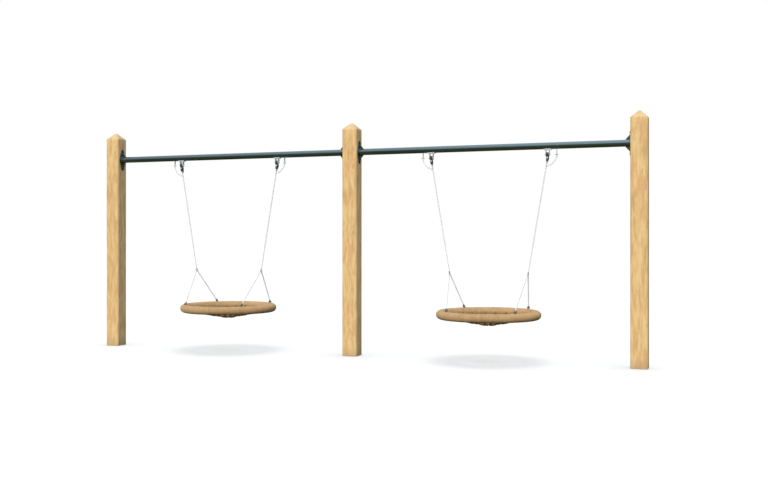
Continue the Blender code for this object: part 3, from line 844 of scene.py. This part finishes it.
def dome_head(seat):
    """A low domed head on local Z with a hexagon socket in its crown."""
    levels = [(seat, circle(DOME_R - DOME_SOFT, BOLT_POINTS))]
    levels.append((seat + DOME_SOFT, circle(DOME_R, BOLT_POINTS)))
    crown = SOCKET_R + 2 * DOME_SOFT
    for angle in np.linspace(0, math.pi / 2, DOME_STEPS):
        radius = crown + (DOME_R - crown) * math.cos(angle)
        height = DOME_EDGE + (DOME_HEIGHT - DOME_EDGE) * math.sin(angle)
        levels.append((seat + height, circle(radius, BOLT_POINTS)))
    top = seat + DOME_HEIGHT
    levels += [(top - DOME_SOFT / 2, hexagon(SOCKET_R)), (top - SOCKET_DEPTH, hexagon(SOCKET_R))]
    return stack(levels)


def shackle(pin, pin_axis, away, half_gap):
    """A bow shackle's bow, with ears either side of a plate, and the bolt through its ears."""
    pin, away = Vector(pin), Vector(away).normalized()
    across = Vector(pin_axis)
    across = (across - away * across.dot(away)).normalized()
    half = half_gap + SHACKLE_CLEARANCE + SHACKLE_WIRE_R
    straight = SHACKLE_REACH + SHACKLE_WIRE_R - half
    path = [pin + across * half + away * straight * t for t in SHACKLE_LEG]
    for angle in np.linspace(0, math.pi, SHACKLE_BOW_STEPS):
        path.append(pin + away * (straight + half * math.sin(angle)) + across * half * math.cos(angle))
    path += [pin - across * half + away * straight * t for t in reversed(SHACKLE_LEG)]
    shells = [sweep(np.array(path), circle(SHACKLE_WIRE_R, SHACKLE_SIDES))]
    ear = soft_disc(SHACKLE_WIRE_R, SHACKLE_EAR_R, SHACKLE_EAR_SOFT)
    for direction in (-1, 1):
        shells.append(placed(ear, facing(pin + across * direction * half, across, away)))
    return shells, bolt(pin, across, half + SHACKLE_WIRE_R, SHACKLE_BOLT, side=away)


# ---- chains

def link_shell(inner_length, half_width=LINK_HALF_WIDTH):
    """A welded link along local Z with its width along local X."""
    straight = inner_length / 2 + LINK_WIRE_R - half_width
    path = []
    for end in (1, -1):
        for angle in np.linspace(0, math.pi, LINK_END_POINTS):
            path.append((end * half_width * math.cos(angle), 0,
                         end * (straight + half_width * math.sin(angle))))
        path += [(-end * half_width, 0, end * straight * t) for t in LINK_LEG]
    section = np.repeat(circle(LINK_WIRE_R, LINK_SIDES)[None], len(path), 0)
    section[LINK_END_POINTS + 1] *= LINK_WELD
    return sweep(np.array(path), section, closed=True, start=(0, 1, 0))


def chain(path, first_normal, last_normal, rng):
    """Interlocked links along a path. The normals are those of the first and last links' planes.
    Links alternate by a quarter turn, and share out what is left of the turn between the ends."""
    path = np.asarray(path, float)
    along = lengths(path)
    _, normals, binormals = frames(resampled(path, CHAIN_STEP), start=first_normal)
    end = np.array(last_normal, float)
    turn = math.atan2(end @ binormals[-1], end @ normals[-1])
    choices = []
    for count in (math.floor(along[-1] / LINK_PITCH), math.ceil(along[-1] / LINK_PITCH)):
        rest = (turn - (count - 1) * math.pi / 2 + math.pi / 2) % math.pi - math.pi / 2
        choices.append((abs(rest), count, rest))
    _, count, rest = min(choices)
    places = np.linspace(0, along[-1], count + 1)
    joins = np.stack([np.interp(places, along, path[:, k]) for k in range(3)], -1)
    link = link_shell(np.linalg.norm(joins[1] - joins[0]))
    middles = (joins[1:] + joins[:-1]) / 2
    _, normals, binormals = frames(middles, start=first_normal)
    shells = []
    for k in range(count):
        slack = 0 if k in (0, count - 1) else rng.uniform(-LINK_SLACK, LINK_SLACK)
        angle = k * math.pi / 2 + rest * k / max(1, count - 1) + slack
        normal = normals[k] * math.cos(angle) + binormals[k] * math.sin(angle)
        reach = joins[k + 1] - joins[k]
        width = Vector(normal).cross(Vector(reach))
        shells.append(placed(link, facing(middles[k], reach, width)))
    return shells


def torus(centre, axis, radius, wire, segments, sides, weld=1.0):
    """A ring round an axis. weld swells it at one place."""
    path = np.column_stack([circle(radius, segments), np.zeros(segments)])
    section = np.repeat(circle(wire, sides)[None], segments, 0)
    section[0] *= weld
    return placed(sweep(path, section, closed=True, start=(0, 0, 1)), facing(centre, axis))


# ---- posts, beams and their bolts

def post_outline(cracks):
    """A square outline with eased corners, and the crack that each of its points is the bottom
    of, or -1. cracks are (side, place), and each has three points."""
    flat = POST_HALF - POST_EASE
    near, far = 0.3 * POST_CORNER_R, 0.6 * POST_CORNER_R
    corner = [(POST_HALF - near, flat - 0.1 * POST_CORNER_R), (POST_HALF - POST_CORNER_R, flat + far)]
    corner += [(v, u) for u, v in reversed(corner)]
    points, is_crack = [], []
    for side in range(4):
        edge = flat - POST_CORNER_R
        places = [(v, -1) for v in np.linspace(-edge, edge, POST_COLUMNS)]
        for index, (crack_side, place) in enumerate(cracks):
            if crack_side == side:
                at = place * POST_HALF
                places = [p for p in places if abs(p[0] - at) > 3 * CHECK_HALF_WIDTH]
                places += [(at - CHECK_HALF_WIDTH, -1), (at, index), (at + CHECK_HALF_WIDTH, -1)]
        places.sort()
        angle = side * math.pi / 2
        turn = np.array([[math.cos(angle), math.sin(angle)], [-math.sin(angle), math.cos(angle)]])
        points += list(np.array([(POST_HALF, v) for v, _ in places] + corner) @ turn)
        is_crack += [index for _, index in places] + [-1] * len(corner)
    return np.array(points), np.array(is_crack)


def crack_depth(span, index, z):
    """The depth of a drying crack at a height. It fades at its ends."""
    start, stop = span
    share = min(1, max(0, min(z - start, stop - z) / CHECK_FADE))
    return CHECK_DEPTH * share * (1 - CHECK_VARY + CHECK_VARY * math.sin(CHECK_WAVES * z + index))


def pyramid(top):
    """Heights and half widths from a post's eaves to its tip."""
    levels = [(POST_EAVES + EAVES_RISE, POST_HALF - EAVES_INSET)]
    for share in np.linspace(PYRAMID_START, 1, PYRAMID_ROWS, endpoint=False):
        half = POST_HALF + (POST_TIP / 2 - POST_HALF) * share
        levels.append((POST_EAVES + (top - POST_EAVES) * share, half))
    levels.append((top - POST_TIP_SOFT, POST_TIP / 2 + POST_TIP_SOFT))
    levels.append((top, POST_TIP / 2 - POST_TIP_SOFT))
    return levels


def make_post(name, rng):
    low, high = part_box(f"post_{name}")
    cracks = [(k % 4, rng.uniform(-CHECK_REACH, CHECK_REACH)) for k in range(CHECKS_PER_POST)]
    starts = rng.uniform(*CHECK_STARTS, CHECKS_PER_POST)
    spans = [(start, start + rng.uniform(*CHECK_LENGTHS)) for start in starts]
    outline, is_crack = post_outline(cracks)
    heights = [POST_SOFT, *np.arange(POST_ROW, POST_EAVES - POST_SOFT, POST_ROW), POST_EAVES - POST_SOFT]
    rows = [at_height(outline * (1 - POST_SOFT / POST_HALF), 0)]
    for z in heights:
        ring = outline.copy()
        for index, span in enumerate(spans):
            ring[is_crack == index] *= 1 - crack_depth(span, index, z) / POST_HALF
        rows.append(at_height(ring, z))
    rows += [at_height(outline * (half / POST_HALF), z) for z, half in pyramid(high.z)]
    rows = np.array(rows) + ((low.x + high.x) / 2, (low.y + high.y) / 2, 0)
    shell = grid(rows, caps=True, u=rows[:, 0, 2])
    piece(f"timber_post_{name}", [shell], "timber", "root", [f"post_{name}"], angle=POST_SHARP)


def make_post_bolts(name):
    """A domed head on each side that has a plate. The other end of a screw is inside its post."""
    post_low, post_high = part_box(f"post_{name}")
    post_x = (post_low.x + post_high.x) / 2
    for level in ("lower", "upper"):
        node_name = f"bolt_{name}_{level}"
        low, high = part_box(node_name)
        centre = Vector((post_x, (low.y + high.y) / 2, (low.z + high.z) / 2))
        ends, shells = [], []
        for side, reach in ((-1, post_x - low.x), (1, high.x - post_x)):
            if reach > POST_HALF:
                reach -= DOME_HEIGHT
                shells.append(placed(dome_head(reach), facing(centre, X_AXIS * side, Y_AXIS)))
            ends.append(side * reach)
        shells.append(placed(rod(*ends, SCREW_R), along_x(centre)))
        piece(f"post_{node_name}", shells, "steel", "root", [node_name])


def gusset(inner_x, inward, direction):
    """The gusset above or below a tube's end, and the beads along its two welded edges."""
    foot, top = TUBE_R - GUSSET_BITE, TUBE_R + GUSSET_HEIGHT
    outline = np.array([(0, foot), (GUSSET_LENGTH, foot), (GUSSET_LENGTH, TUBE_R + GUSSET_LIP),
                        (GUSSET_LIP, top), (0, top)])
    matrix = Matrix(((inward, 0, 0, inner_x - inward * GUSSET_BITE), (0, 0, 1, 0),
                     (0, direction, 0, BEAM_AXIS_Z), (0, 0, 0, 1)))
    points, faces, uvs = placed(plate(outline, GUSSET_THICKNESS, FINE_EDGE), matrix)
    if matrix.determinant() < 0:
        faces = [tuple(reversed(face)) for face in faces]
    shells = [(points, faces, uvs)]
    for side in (-GUSSET_THICKNESS / 2, GUSSET_THICKNESS / 2):
        corner = (inner_x, side, BEAM_AXIS_Z + direction * math.sqrt(TUBE_R ** 2 - side ** 2))
        tail = (inner_x + inward * (GUSSET_LENGTH - BEAD_STOP), side, corner[2])
        head = (inner_x, side, BEAM_AXIS_Z + direction * (top - BEAD_STOP))
        shells += [bead([corner, tail]), bead([corner, head])]
    return shells


def beam_end(face_x, inward):
    """The end plate, its gussets and their welds. inward is 1 or -1 along X."""
    outline = belt([(-PLATE_BOLT_RISE, PLATE_END_R), (0, PLATE_WAIST_R), (PLATE_BOLT_RISE, PLATE_END_R)])
    middle = (face_x + inward * PLATE_THICKNESS / 2, 0, BEAM_AXIS_Z)
    shells = [placed(plate(outline, PLATE_THICKNESS, PLATE_EDGE), along_x(middle))]
    inner_x = face_x + inward * PLATE_THICKNESS
    matrix = facing((inner_x, 0, BEAM_AXIS_Z), X_AXIS)
    seam = [matrix @ Vector((u, v, 0)) for u, v in circle(TUBE_R + SEAM_OUT, SEAM_POINTS)]
    shells.append(bead(seam, closed=True, radius=SEAM_R))
    return shells + gusset(inner_x, inward, -1) + gusset(inner_x, inward, 1)


def make_beam(name, hangers):
    low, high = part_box(f"beam_{name}")
    tube = rod(low.x + TUBE_BITE, high.x - TUBE_BITE, TUBE_R, TUBE_SIDES)
    shells = [placed(tube, along_x((0, 0, BEAM_AXIS_Z)))] + beam_end(low.x, 1) + beam_end(high.x, -1)
    piece(f"beam_weldment_{name}", shells, "paint", "root", [f"beam_{name}"], angle=30)
    shells = []
    for hanger, side in hangers:
        tab_x = hanger.x + side * TAB_OFFSET
        rise = BEAM_AXIS_Z - TUBE_R - hanger.z + TUBE_BITE
        tab = plate(belt([(0, TAB_R), (rise, TAB_R)]), TAB_THICKNESS, FINE_EDGE, hole=((0, 0), TAB_HOLE_R))
        shells.append(placed(tab, along_x((tab_x, 0, hanger.z))))
        for x in (tab_x - TAB_THICKNESS / 2, tab_x + TAB_THICKNESS / 2):
            shells.append(bead([(x, TUBE_R * math.sin(a), BEAM_AXIS_Z - TUBE_R * math.cos(a))
                                for a in np.linspace(-TAB_BEAD_ARC, TAB_BEAD_ARC, TAB_BEAD_STEPS)]))
    piece(f"beam_tabs_{name}", shells, "zinc", "root", angle=30)


# ---- hangers

def make_bracket(seat, side_name, pivot):
    """A saddle welded under the tube with two cheeks, and the swing pin through them."""
    rise = BEAM_AXIS_Z - pivot.z
    floor = rise - TUBE_R - SADDLE_WEB
    top = floor + SADDLE_THICKNESS
    half = SADDLE_WIDTH / 2
    seat_r = TUBE_R + SADDLE_GAP
    reach = math.sqrt(seat_r ** 2 - (rise - top) ** 2)
    arc = [(u, rise - math.sqrt(seat_r ** 2 - u ** 2)) for u in np.linspace(reach, -reach, SADDLE_ARC_STEPS)]
    outline = np.array([(-half, floor), (half, floor), (half, top)] + arc + [(-half, top)])
    shells = [placed(plate(outline, SADDLE_LENGTH, SADDLE_EDGE), along_x(pivot))]
    cheek = belt([(0, CHEEK_R), (floor + CHEEK_BITE - CHEEK_R, CHEEK_R)], HANGER_STEPS)
    for side in (-1, 1):
        x = pivot.x + side * (CHEEK_INSIDE + CHEEK_THICKNESS / 2)
        shells.append(placed(plate(cheek, CHEEK_THICKNESS, CHEEK_EDGE), along_x((x, 0, pivot.z))))
        for face in (-1, 1):
            at = x + face * CHEEK_THICKNESS / 2
            ends = [(at, y, pivot.z + floor) for y in (-CHEEK_BEAD_HALF, CHEEK_BEAD_HALF)]
            shells.append(bead(ends, radius=CHEEK_BEAD_R))
        half_bead = SADDLE_LENGTH / 2 - SADDLE_BEAD_INSET
        y = side * (reach + SADDLE_BEAD_OUT)
        ends = [(pivot.x - half_bead, y, pivot.z + top), (pivot.x + half_bead, y, pivot.z + top)]
        shells.append(bead(ends, radius=SADDLE_BEAD_R))
    stand_in(f"{seat}_bracket_{side_name}", "weldment", shells, "zinc", "root", angle=30)
    shells = bolt(pivot, X_AXIS, CHEEK_INSIDE + CHEEK_THICKNESS, PIVOT_BOLT, side=Y_AXIS)
    stand_in(f"{seat}_swing_pin_{side_name}", "bolt", shells, "zinc", "root")


def make_block(seat, side_name, pivot, sway):
    """The hub on the swing pin, with its tail round the yoke pin."""
    hub = soft_disc(BLOCK_HUB_HALF, BLOCK_HUB_R, BLOCK_SOFT, HUB_POINTS)
    tail = belt([(sway.z - pivot.z, BLOCK_TAIL_R), (0, BLOCK_TAIL_R)], HANGER_STEPS)
    shells = [placed(hub, along_x(pivot))]
    shells.append(placed(plate(tail, 2 * BLOCK_TAIL_HALF, BLOCK_SOFT), facing(pivot, -Y_AXIS, X_AXIS)))
    stand_in(f"{seat}_bearing_block_{side_name}", "body", shells, "green", f"{seat}_carriage", angle=30)


def make_yoke(seat, side_name, sway, down):
    """The fork on the yoke pin with its eye plate, and the pin."""
    body = f"{seat}_hanger_{side_name}"
    matrix = facing(sway, -Y_AXIS, Vector(down).cross(Y_AXIS))
    leg = plate(belt([(-YOKE_BRIDGE_DROP, YOKE_BOTTOM_R), (0, YOKE_TOP_R)], HANGER_STEPS), YOKE_LEG_THICKNESS)
    middle = YOKE_LEG_INSIDE + YOKE_LEG_THICKNESS / 2
    shells = [placed(leg, matrix @ Matrix.Translation((0, 0, z))) for z in (-middle, middle)]
    bridge = rod(-middle, middle, YOKE_BRIDGE_R, BRIDGE_POINTS)
    shells.append(placed(bridge, matrix @ Matrix.Translation((0, -YOKE_BRIDGE_DROP, 0))))
    eye = belt([(-YOKE_EYE_DROP, YOKE_EYE_R), (-YOKE_BRIDGE_DROP, YOKE_EYE_ROOT_R)], EYE_PLATE_STEPS)
    hole = ((0, -YOKE_EYE_DROP), YOKE_EYE_HOLE_R)
    shells.append(placed(plate(eye, YOKE_EYE_THICKNESS, hole=hole), matrix))
    stand_in(f"{seat}_yoke_{side_name}", "casting", shells, "casting", body, angle=30)
    shells = bolt(sway, -Y_AXIS, YOKE_LEG_INSIDE + YOKE_LEG_THICKNESS, PIVOT_BOLT, side=X_AXIS)
    stand_in(f"{seat}_yoke_pin_{side_name}", "bolt", shells, "zinc", body)


def make_upper_chain(seat, side_name, sway, junction, rng):
    down = (junction - sway).normalized()
    eye = sway + down * YOKE_EYE_DROP
    bow, pin = shackle(eye, Y_AXIS, down, YOKE_EYE_THICKNESS / 2)
    ends = [eye + down * SHACKLE_REACH, junction - down * (RING_R - RING_WIRE_R)]
    shells = bow + pin + chain(ends, Y_AXIS, Y_AXIS, rng)
    stand_in(f"{seat}_upper_chain_{side_name}", "links", shells, "chain", f"{seat}_hanger_{side_name}")


def make_safety_chain(seat, side_name, pivot, sway, junction, rng):
    """A slack chain from its tab to a link of the upper chain."""
    side = SIDES[side_name]
    tab = Vector((pivot.x + side * TAB_OFFSET, 0, pivot.z))
    lean = (sway.x - junction.x) / (sway.z - junction.z)
    join = Vector((sway.x - SAFETY_JOIN_DROP * lean, 0, sway.z - SAFETY_JOIN_DROP))
    out, front, up = SAFETY_END
    stop = join + Vector((side * out, front, up))
    start = tab - Z_AXIS * SHACKLE_REACH
    belly = tab + Vector((-side * SAFETY_BELLY[0], 0, -SAFETY_BELLY[1]))
    path = [start * (1 - t) ** 2 + belly * 2 * t * (1 - t) + stop * t ** 2
            for t in np.linspace(0, 1, SAFETY_STEPS)]
    bow, pin = shackle(tab, X_AXIS, -Z_AXIS, TAB_THICKNESS / 2)
    shells = bow + pin + chain(path, X_AXIS, Z_AXIS, rng)
    hook = link_shell(HOOK_LENGTH, HOOK_HALF_WIDTH)
    shells.append(placed(hook, facing((join + stop) / 2, join - stop, Z_AXIS)))
    made = stand_in(f"{seat}_safety_chain_{side_name}", "links", shells, "chain", None)
    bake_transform(made)


# ---- baskets

def spiral_skin(radius, wrap):
    """The winding's shell, in the rim's own frame."""
    per_turn = len(WINDING_ROWS)
    share = np.array(WINDING_ROWS + (1.0,))
    hub = wrap - WINDING_ROPE_R
    column = np.arange(WINDING_COLUMNS) / WINDING_COLUMNS
    round_tube = -column * TURN
    turn_step = TURN / WINDING_TURNS
    pitch = (radius + wrap * np.cos(round_tube)) * turn_step
    rows = []
    for wind in range(WINDING_TURNS):
        for part in WINDING_ROWS:
            theta = (wind + part + column) * turn_step
            off = np.minimum(WINDING_SQUASH * abs(part - 0.5) * pitch, WINDING_LIMIT * WINDING_ROPE_R)
            out = hub + np.sqrt(WINDING_ROPE_R ** 2 - off ** 2)
            reach = radius + out * np.cos(round_tube)
            rows.append(np.column_stack([reach * np.cos(theta), reach * np.sin(theta),
                                         out * np.sin(round_tube)]))
    over = np.arcsin(np.clip(2 * share - 1, -WINDING_LIMIT, WINDING_LIMIT)) / TURN
    bands = np.tile(np.stack([over[:-1], over[1:]], -1), (WINDING_TURNS, 1))
    wrap_length = TURN * wrap
    columns = np.linspace(0, wrap_length, WINDING_COLUMNS + 1)
    points, faces, uvs = grid(rows, wrap=True, u=bands, v=columns, shift=per_turn)
    uvs = np.array(uvs)[:, ::-1].reshape(-1, 4, 2)
    wind = np.repeat(np.arange(WINDING_TURNS), per_turn * WINDING_COLUMNS)
    uvs[:, :, 0] += (wind * wrap_length)[:, None]
    return points, faces, uvs.reshape(-1, 2).tolist()


def lug_places(radius, junctions, centre):
    """Each corner's side and name, with its lug's foot, its hole and the way from its junction
    to the hole."""
    reach = radius * math.sqrt(0.5)
    for side_name, side in SIDES.items():
        for corner_name, corner in CORNERS.items():
            foot = centre + Vector((side * reach, corner * reach, 0))
            hole = foot + Z_AXIS * LUG_RISE
            yield side_name, corner_name, foot, hole, hole - junctions[side_name]


def make_rim(seat, centre, radius, wrap, junctions):
    body = f"{seat}_basket"
    skin = placed(spiral_skin(radius, wrap), Matrix.Translation(centre))
    piece(f"{seat}_rim_rope", [skin], "rope", body, [f"{seat}_rim_winding"], angle=60)
    shells = [torus(centre, Z_AXIS, radius, CORE_R, 96, 20)]
    outline = belt([(LUG_ROOT_RISE, LUG_ROOT_R), (LUG_RISE, LUG_R)], EYE_PLATE_STEPS)
    lug = plate(outline, LUG_THICKNESS, LUG_EDGE, hole=((0, LUG_RISE), LUG_HOLE_R))
    for _, _, foot, _, drop in lug_places(radius, junctions, centre):
        across = Vector((drop.x, drop.y, 0)).cross(Z_AXIS)
        shells.append(placed(lug, facing(foot, across, Z_AXIS.cross(across))))
    piece(f"{seat}_rim_ring", shells, "dull_zinc", body, [f"{seat}_rim_core"])


def make_lower_chains(seat, centre, radius, junctions, rng):
    """The four chains from the junction rings to the lugs, and the shackles on the lugs."""
    body = f"{seat}_basket"
    bows, pins = [], []
    for side, corner, _, hole, drop in lug_places(radius, junctions, centre):
        down = drop.normalized()
        across = Vector((drop.x, drop.y, 0)).cross(Z_AXIS).normalized()
        bow, pin = shackle(hole, across, -down, LUG_THICKNESS / 2)
        bows += bow
        pins += pin
        ends = [junctions[side] + down * (RING_R - RING_WIRE_R), hole - down * SHACKLE_REACH]
        shells = chain(ends, down.cross(X_AXIS).normalized(), across, rng)
        stand_in(f"{seat}_lower_chain_{corner}_{side}", "links", shells, "chain", body)
    piece(f"{seat}_rim_shackles", bows, "steel", body)
    piece(f"{seat}_rim_shackle_pins", pins, "dull_zinc", body)


def dish(radius):
    """The net's height at a radius, from the rim's centreline."""
    return -NET_SAG * (1 - (radius / NET_REACH) ** NET_CURVE)


def net_point(centre, angle, radius, height=None):
    """A point at a height, or on the net's dish if no height is given."""
    height = dish(radius) if height is None else height
    return centre + Vector((radius * math.cos(angle), radius * math.sin(angle), height))


def rope(path, closed=False):
    """A laid rope over a path. The section's lobes turn with the lay, and the UVs say so too."""
    path = resampled(path, ROPE_STEP, closed)
    along = lengths(path, closed)
    lay = ROPE_LAY
    if closed:
        lay = along[-1] * ROPE_STRANDS / round(along[-1] * ROPE_STRANDS / ROPE_LAY)
    sides = 3 * ROPE_STRANDS
    lobes = np.where(np.arange(sides) % 3 == 0, ROPE_LOBE, 1.0) * NET_ROPE_R
    turn = np.arange(sides) * TURN / sides
    angle = turn[None] + along[:len(path), None] * TURN / lay
    section = np.stack([lobes * np.cos(angle), lobes * np.sin(angle)], -1)
    points, faces, uvs = sweep(path, section, closed)
    uvs = np.array(uvs)
    uvs[:, 1] -= uvs[:, 0] / ROPE_LAY
    return points, faces, uvs.tolist()


def sleeve(centre, angle, radius, span, size):
    """A pressed ferrule with soft ends on a spoke, sloped as the net is over a span of radii."""
    length, wide, flat = size
    levels = [(z * length, circle(share * wide, 16) * (1, flat)) for z, share in SLEEVE_OUTLINE]
    slope = net_point(centre, angle, span[1]) - net_point(centre, angle, span[0])
    return placed(stack(levels), facing(net_point(centre, angle, radius), slope, slope.cross(Z_AXIS)))


def whipping(start, stop):
    """Thin cord wound tight round a rope from one point to another."""
    length = (stop - start).length
    radius = NET_ROPE_R + WHIPPING_LAP * WHIPPING_WIRE_R
    winds = round(length / (2 * WHIPPING_WIRE_R))
    angle = np.linspace(0, winds * TURN, winds * WHIPPING_STEPS + 1)
    helix = np.column_stack([radius * np.cos(angle), radius * np.sin(angle), angle / angle[-1] * length])
    shell = sweep(helix, circle(WHIPPING_WIRE_R, 6), start=(1, 0, 0))
    return placed(shell, facing(start, stop - start))


def spoke_ropes(centre, angle, main):
    """A spoke and the whipping at its rim end. A main one also loops round the centre ring."""
    first = CRIMP_PLACE - SPOKE_OVERLAP if main else NET_RINGS[NET_SPLIT_RING]
    reaches = np.linspace(first, NET_REACH + SPOKE_OVERLAP, SPOKE_STEPS)
    shells = [rope([net_point(centre, angle, radius) for radius in reaches])]
    shells.append(whipping(*(net_point(centre, angle, radius) for radius in WHIPPING_REACH)))
    if main:
        middle = dish(CENTRE_RING_R)
        eye = CENTRE_WIRE_R + NET_ROPE_R
        loop = [(CENTRE_RING_R + eye * math.cos(a), middle + eye * math.sin(a))
                for a in np.linspace(*EYE_ARC, EYE_STEPS)]
        loop = [(CRIMP_PLACE, dish(CRIMP_PLACE) + CRIMP_RISE), (NECK_PLACE, middle + NECK_RISE)] + loop
        loop += [(NECK_PLACE, middle - NECK_RISE), (CRIMP_PLACE, dish(CRIMP_PLACE) - CRIMP_RISE)]
        shells.append(rope([net_point(centre, angle, *place) for place in loop]))
    return shells


def spoke_sleeves(centre, angle, main):
    """The ferrules where a spoke meets the hoops and, on a main one, at its crimp."""
    shells = [sleeve(centre, angle, CRIMP_PLACE, CRIMP_SPAN, CRIMP_SIZE)] if main else []
    for radius in NET_RINGS if main else NET_RINGS[NET_SPLIT_RING:]:
        span = (radius - SLEEVE_SPAN, radius + SLEEVE_SPAN)
        shells.append(sleeve(centre, angle, radius, span, SLEEVE_SIZE))
    return shells


def hoop(centre, radius, spokes):
    """A hoop of rope, part way from a circle to straight lines between its spokes."""
    step = TURN / spokes
    path = []
    for angle in np.arange(HOOP_STEPS * spokes) * step / HOOP_STEPS:
        off = angle % step - step / 2
        pull = HOOP_ROUND + (1 - HOOP_ROUND) * math.cos(step / 2) / math.cos(off)
        path.append(net_point(centre, angle + NET_TURN, radius * pull, dish(radius)))
    return rope(path, closed=True)


def make_net(seat, centre):
    """Spokes of rope from a steel ring to the rim, doubled from the second hoop out, and hoops."""
    body = f"{seat}_basket"
    ropes, sleeves = [], []
    for spoke in range(2 * NET_SPOKES):
        angle = spoke * TURN / (2 * NET_SPOKES) + NET_TURN
        main = spoke % 2 == 0
        ropes += spoke_ropes(centre, angle, main)
        sleeves += spoke_sleeves(centre, angle, main)
    for index, radius in enumerate(NET_RINGS):
        ropes.append(hoop(centre, radius, NET_SPOKES if index < NET_SPLIT_RING else 2 * NET_SPOKES))
    piece(f"{seat}_net_ropes", ropes, "net", body, [f"{seat}_net"], angle=60)
    piece(f"{seat}_net_sleeves", sleeves, "steel", body)
    low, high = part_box(f"{seat}_net_centre_ring")
    ring = torus((low + high) / 2, Z_AXIS, CENTRE_RING_R, CENTRE_WIRE_R, 64, 20)
    piece(f"{seat}_centre_ring", [ring], "steel", body, [f"{seat}_net_centre_ring"])


def make_seat(seat, rng):
    """One bay's hangers, chains and basket. Returns the middle of each swing pin."""
    joints = {joint["name"]: Vector(joint["pos_m"]) for joint in frame["joints"]}
    sways = {side: joints[f"{seat}_sway_{side}"] for side in SIDES}
    pivots = {side: Vector((sways[side].x, 0, joints[f"{seat}_swing"].z)) for side in SIDES}
    low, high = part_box(f"{seat}_junction_ring_right")
    junctions = {"left": joints[f"{seat}_tilt"], "right": (low + high) / 2}
    ring_bodies = {"left": f"{seat}_junction", "right": f"{seat}_basket"}
    for side in SIDES:
        make_bracket(seat, side, pivots[side])
        make_block(seat, side, pivots[side], sways[side])
        make_yoke(seat, side, sways[side], junctions[side] - sways[side])
        make_upper_chain(seat, side, sways[side], junctions[side], rng)
        make_safety_chain(seat, side, pivots[side], sways[side], junctions[side], rng)
        ring = torus(junctions[side], X_AXIS, RING_R, RING_WIRE_R, 48, 14, RING_WELD)
        stand_in(f"{seat}_junction_ring_{side}", "welded", [ring], "dull_zinc", ring_bodies[side])
    low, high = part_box(f"{seat}_rim_winding")
    centre = (low + high) / 2
    wrap = (high.z - low.z) / 2
    radius = (high.y - low.y) / 2 - wrap
    make_rim(seat, centre, radius, wrap, junctions)
    make_lower_chains(seat, centre, radius, junctions, rng)
    make_net(seat, centre)
    return pivots


# ---- floor, light and camera

def make_camera():
    camera = bpy.data.objects.new("camera", bpy.data.cameras.new("camera"))
    camera.data.lens = CAMERA_LENS
    camera.data.sensor_width = CAMERA_SENSOR
    camera.location = CAMERA_PLACE
    camera.rotation_euler = (math.pi / 2, 0, CAMERA_TURN)
    camera.data.clip_end = CAMERA_CLIP
    bpy.context.scene.collection.objects.link(camera)
    bpy.context.scene.camera = camera


def make_floor():
    mesh = bpy.data.meshes.new("floor")
    corners = [(x * FLOOR_HALF, y * FLOOR_HALF, 0) for x, y in ((-1, -1), (1, -1), (1, 1), (-1, 1))]
    mesh.from_pydata(corners, [], [(0, 1, 2, 3)])
    material = new_material("floor_white", FLOOR_COLOUR, 1.0, Specular_IOR_Level=0.0,
                            Emission_Strength=FLOOR_GLOW)[0]
    mesh.materials.append(material)
    floor = bpy.data.objects.new("floor", mesh)
    floor.location.z = -FLOOR_DROP
    floor.visible_diffuse = False
    floor.visible_glossy = False
    bpy.context.scene.collection.objects.link(floor)
    return floor


def background(tree, colour, strength):
    return Signal(node(tree, "Background", (("Color", colour), ("Strength", strength))))


def either(choice, first, second):
    """The first shader where choice is 0, and the second where it is 1."""
    return Signal(node(choice.tree, "MixShader", enumerate((choice, first, second))))


def make_world():
    """Soft light from all round, bluish above and dark below, with its own tones for reflections.
    The camera sees plain white."""
    world = bpy.data.worlds.new("studio")
    bpy.context.scene.world = world
    world.use_nodes = True
    tree = world.node_tree
    tree.nodes.clear()

    x, _, z = split(Signal(node(tree, "TexCoord"), "Generated"))
    height = z * 0.5 + 0.5
    across = x * 0.5 + 0.5
    paths = node(tree, "LightPath")
    soft = background(tree, ramp(height, *SOFT_SKY), ramp(across, *SOFT_SIDE))
    shiny = background(tree, ramp(height, *SHINY_SKY), ramp(across, *SHINY_SIDE))
    white = background(tree, (1, 1, 1, 1), 1.0)
    lit = either(Signal(paths, "Is Glossy Ray"), soft, shiny)
    seen = either(Signal(paths, "Is Camera Ray"), lit, white)
    node(tree, "OutputWorld", (("Surface", seen),))


def make_sun(name, towards, strength, spread, colour):
    sun = bpy.data.objects.new(name, bpy.data.lights.new(name, "SUN"))
    sun.data.energy = strength
    sun.data.angle = math.radians(spread)
    sun.data.color = colour
    sun.rotation_euler = Vector(towards).to_track_quat("-Z", "Y").to_euler()
    bpy.context.scene.collection.objects.link(sun)
    return sun


def link_light(light, floor, state):
    """Limits a light to the floor, or keeps it off the floor."""
    receivers = bpy.data.collections.new(f"{light.name}_receivers")
    receivers.objects.link(floor)
    light.light_linking.receiver_collection = receivers
    receivers.collection_objects[0].light_linking.link_state = state


def make_lights(floor):
    """A soft key from in front for the swings, and a broad light from above for the floor."""
    key = make_sun("key", KEY_TOWARDS, KEY_STRENGTH, KEY_SPREAD, KEY_COLOUR)
    key.visible_glossy = False
    link_light(key, floor, "EXCLUDE")
    overhead = make_sun("overhead", (0, 0, -1), OVERHEAD_STRENGTH, OVERHEAD_SPREAD, OVERHEAD_COLOUR)
    link_light(overhead, floor, "INCLUDE")


def main():
    bpy.context.scene.view_settings.view_transform = "Standard"
    make_camera()
    rng = np.random.default_rng(SEED)
    for name in POSTS:
        make_post(name, rng)
        make_post_bolts(name)
    for name, seat in zip(BEAMS, SEATS):
        pivots = make_seat(seat, rng)
        make_beam(name, [(pivots[side], SIDES[side]) for side in SIDES])
    floor = make_floor()
    make_world()
    make_lights(floor)


main()
